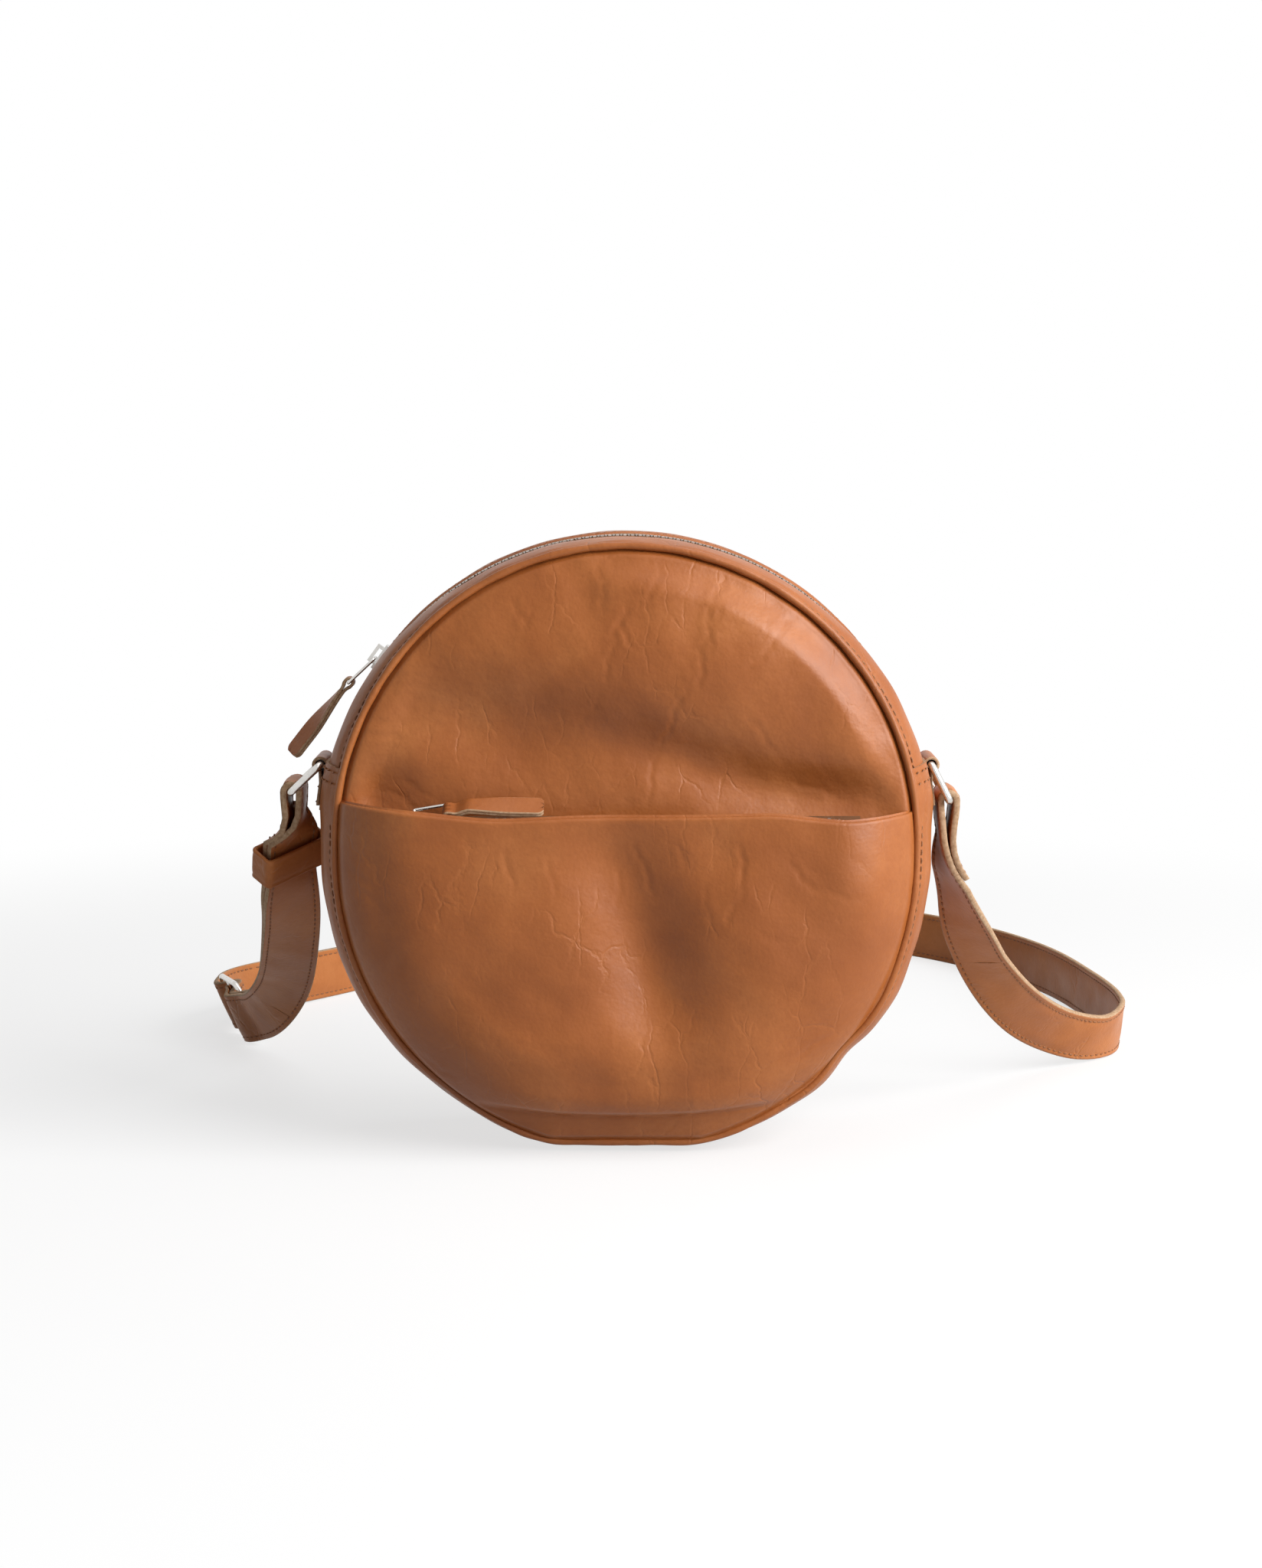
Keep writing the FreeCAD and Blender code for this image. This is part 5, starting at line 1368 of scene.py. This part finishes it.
bpy.ops.mesh.primitive_plane_add(size=FLOOR_SIZE, location=(0, 0, 0))
floor = bpy.context.object
floor.name = "floor"
floor_material = bpy.data.materials.new("white_floor")
tree = Tree(floor_material)
tree.nodes.clear()
paper = tree.node("ShaderNodeBsdfDiffuse", {"Color": FLOOR_LIT}).outputs[0]
shaded = tree.node("ShaderNodeBsdfDiffuse", {"Color": FLOOR_SEEN}).outputs[0]
glow = tree.node("ShaderNodeEmission", {"Strength": FLOOR_GLOW}).outputs[0]
bright = tree.node("ShaderNodeAddShader", {0: shaded, 1: glow}).outputs[0]
spot = tree.node("ShaderNodeNewGeometry").outputs["Position"]
away = tree.node("ShaderNodeVectorMath", {0: spot, 1: WHITE_MIDDLE}, operation="DISTANCE").outputs["Value"]
fade = {"Value": away, "From Min": WHITE_FROM, "From Max": WHITE_AT}
fade = tree.node("ShaderNodeMapRange", fade, interpolation_type="SMOOTHSTEP").outputs["Result"]
white = tree.node("ShaderNodeEmission").outputs[0]
sweep = tree.node("ShaderNodeMixShader", {0: fade, 1: bright, 2: white}).outputs[0]
tree.node("ShaderNodeOutputMaterial", {"Surface": light_path_mix(tree, sweep, paper)})
floor.data.materials.append(floor_material)


def soft_box(name, place, target, wide, tall, power):
    light = bpy.data.lights.new(name, "AREA")
    light.shape = "RECTANGLE"
    light.size = wide
    light.size_y = tall
    light.energy = power
    lamp = bpy.data.objects.new(name, light)
    bpy.context.scene.collection.objects.link(lamp)
    lamp.location = place
    way = Vector(target) - Vector(place)
    lamp.rotation_euler = way.to_track_quat("-Z", "Y").to_euler()


soft_box("key_right", (1.5, -0.85, 1.05), (0, 0, 0.12), wide=1.6, tall=1.6, power=70)
soft_box("top", (0.4, 0.1, 1.8), (0, 0, 0.1), wide=1.4, tall=1.4, power=8)

CAMERA_HEIGHT = 0.2891
CAMERA_BACK = 1.1896
CAMERA_SIDE = 0.0021
CAMERA_PITCH = 7
FOCAL_PIXELS = 3900
PHOTO_HEIGHT = 2048
SENSOR = 36
camera_data = bpy.data.cameras.new("camera")
camera_data.sensor_width = SENSOR
camera_data.lens = FOCAL_PIXELS / PHOTO_HEIGHT * SENSOR
camera = bpy.data.objects.new("camera", camera_data)
bpy.context.scene.collection.objects.link(camera)
camera.location = (CAMERA_SIDE, -CAMERA_BACK, CAMERA_HEIGHT)
camera.rotation_euler = (math.radians(90 - CAMERA_PITCH), 0, 0)
bpy.context.scene.camera = camera
bpy.context.scene.view_settings.view_transform = "Standard"
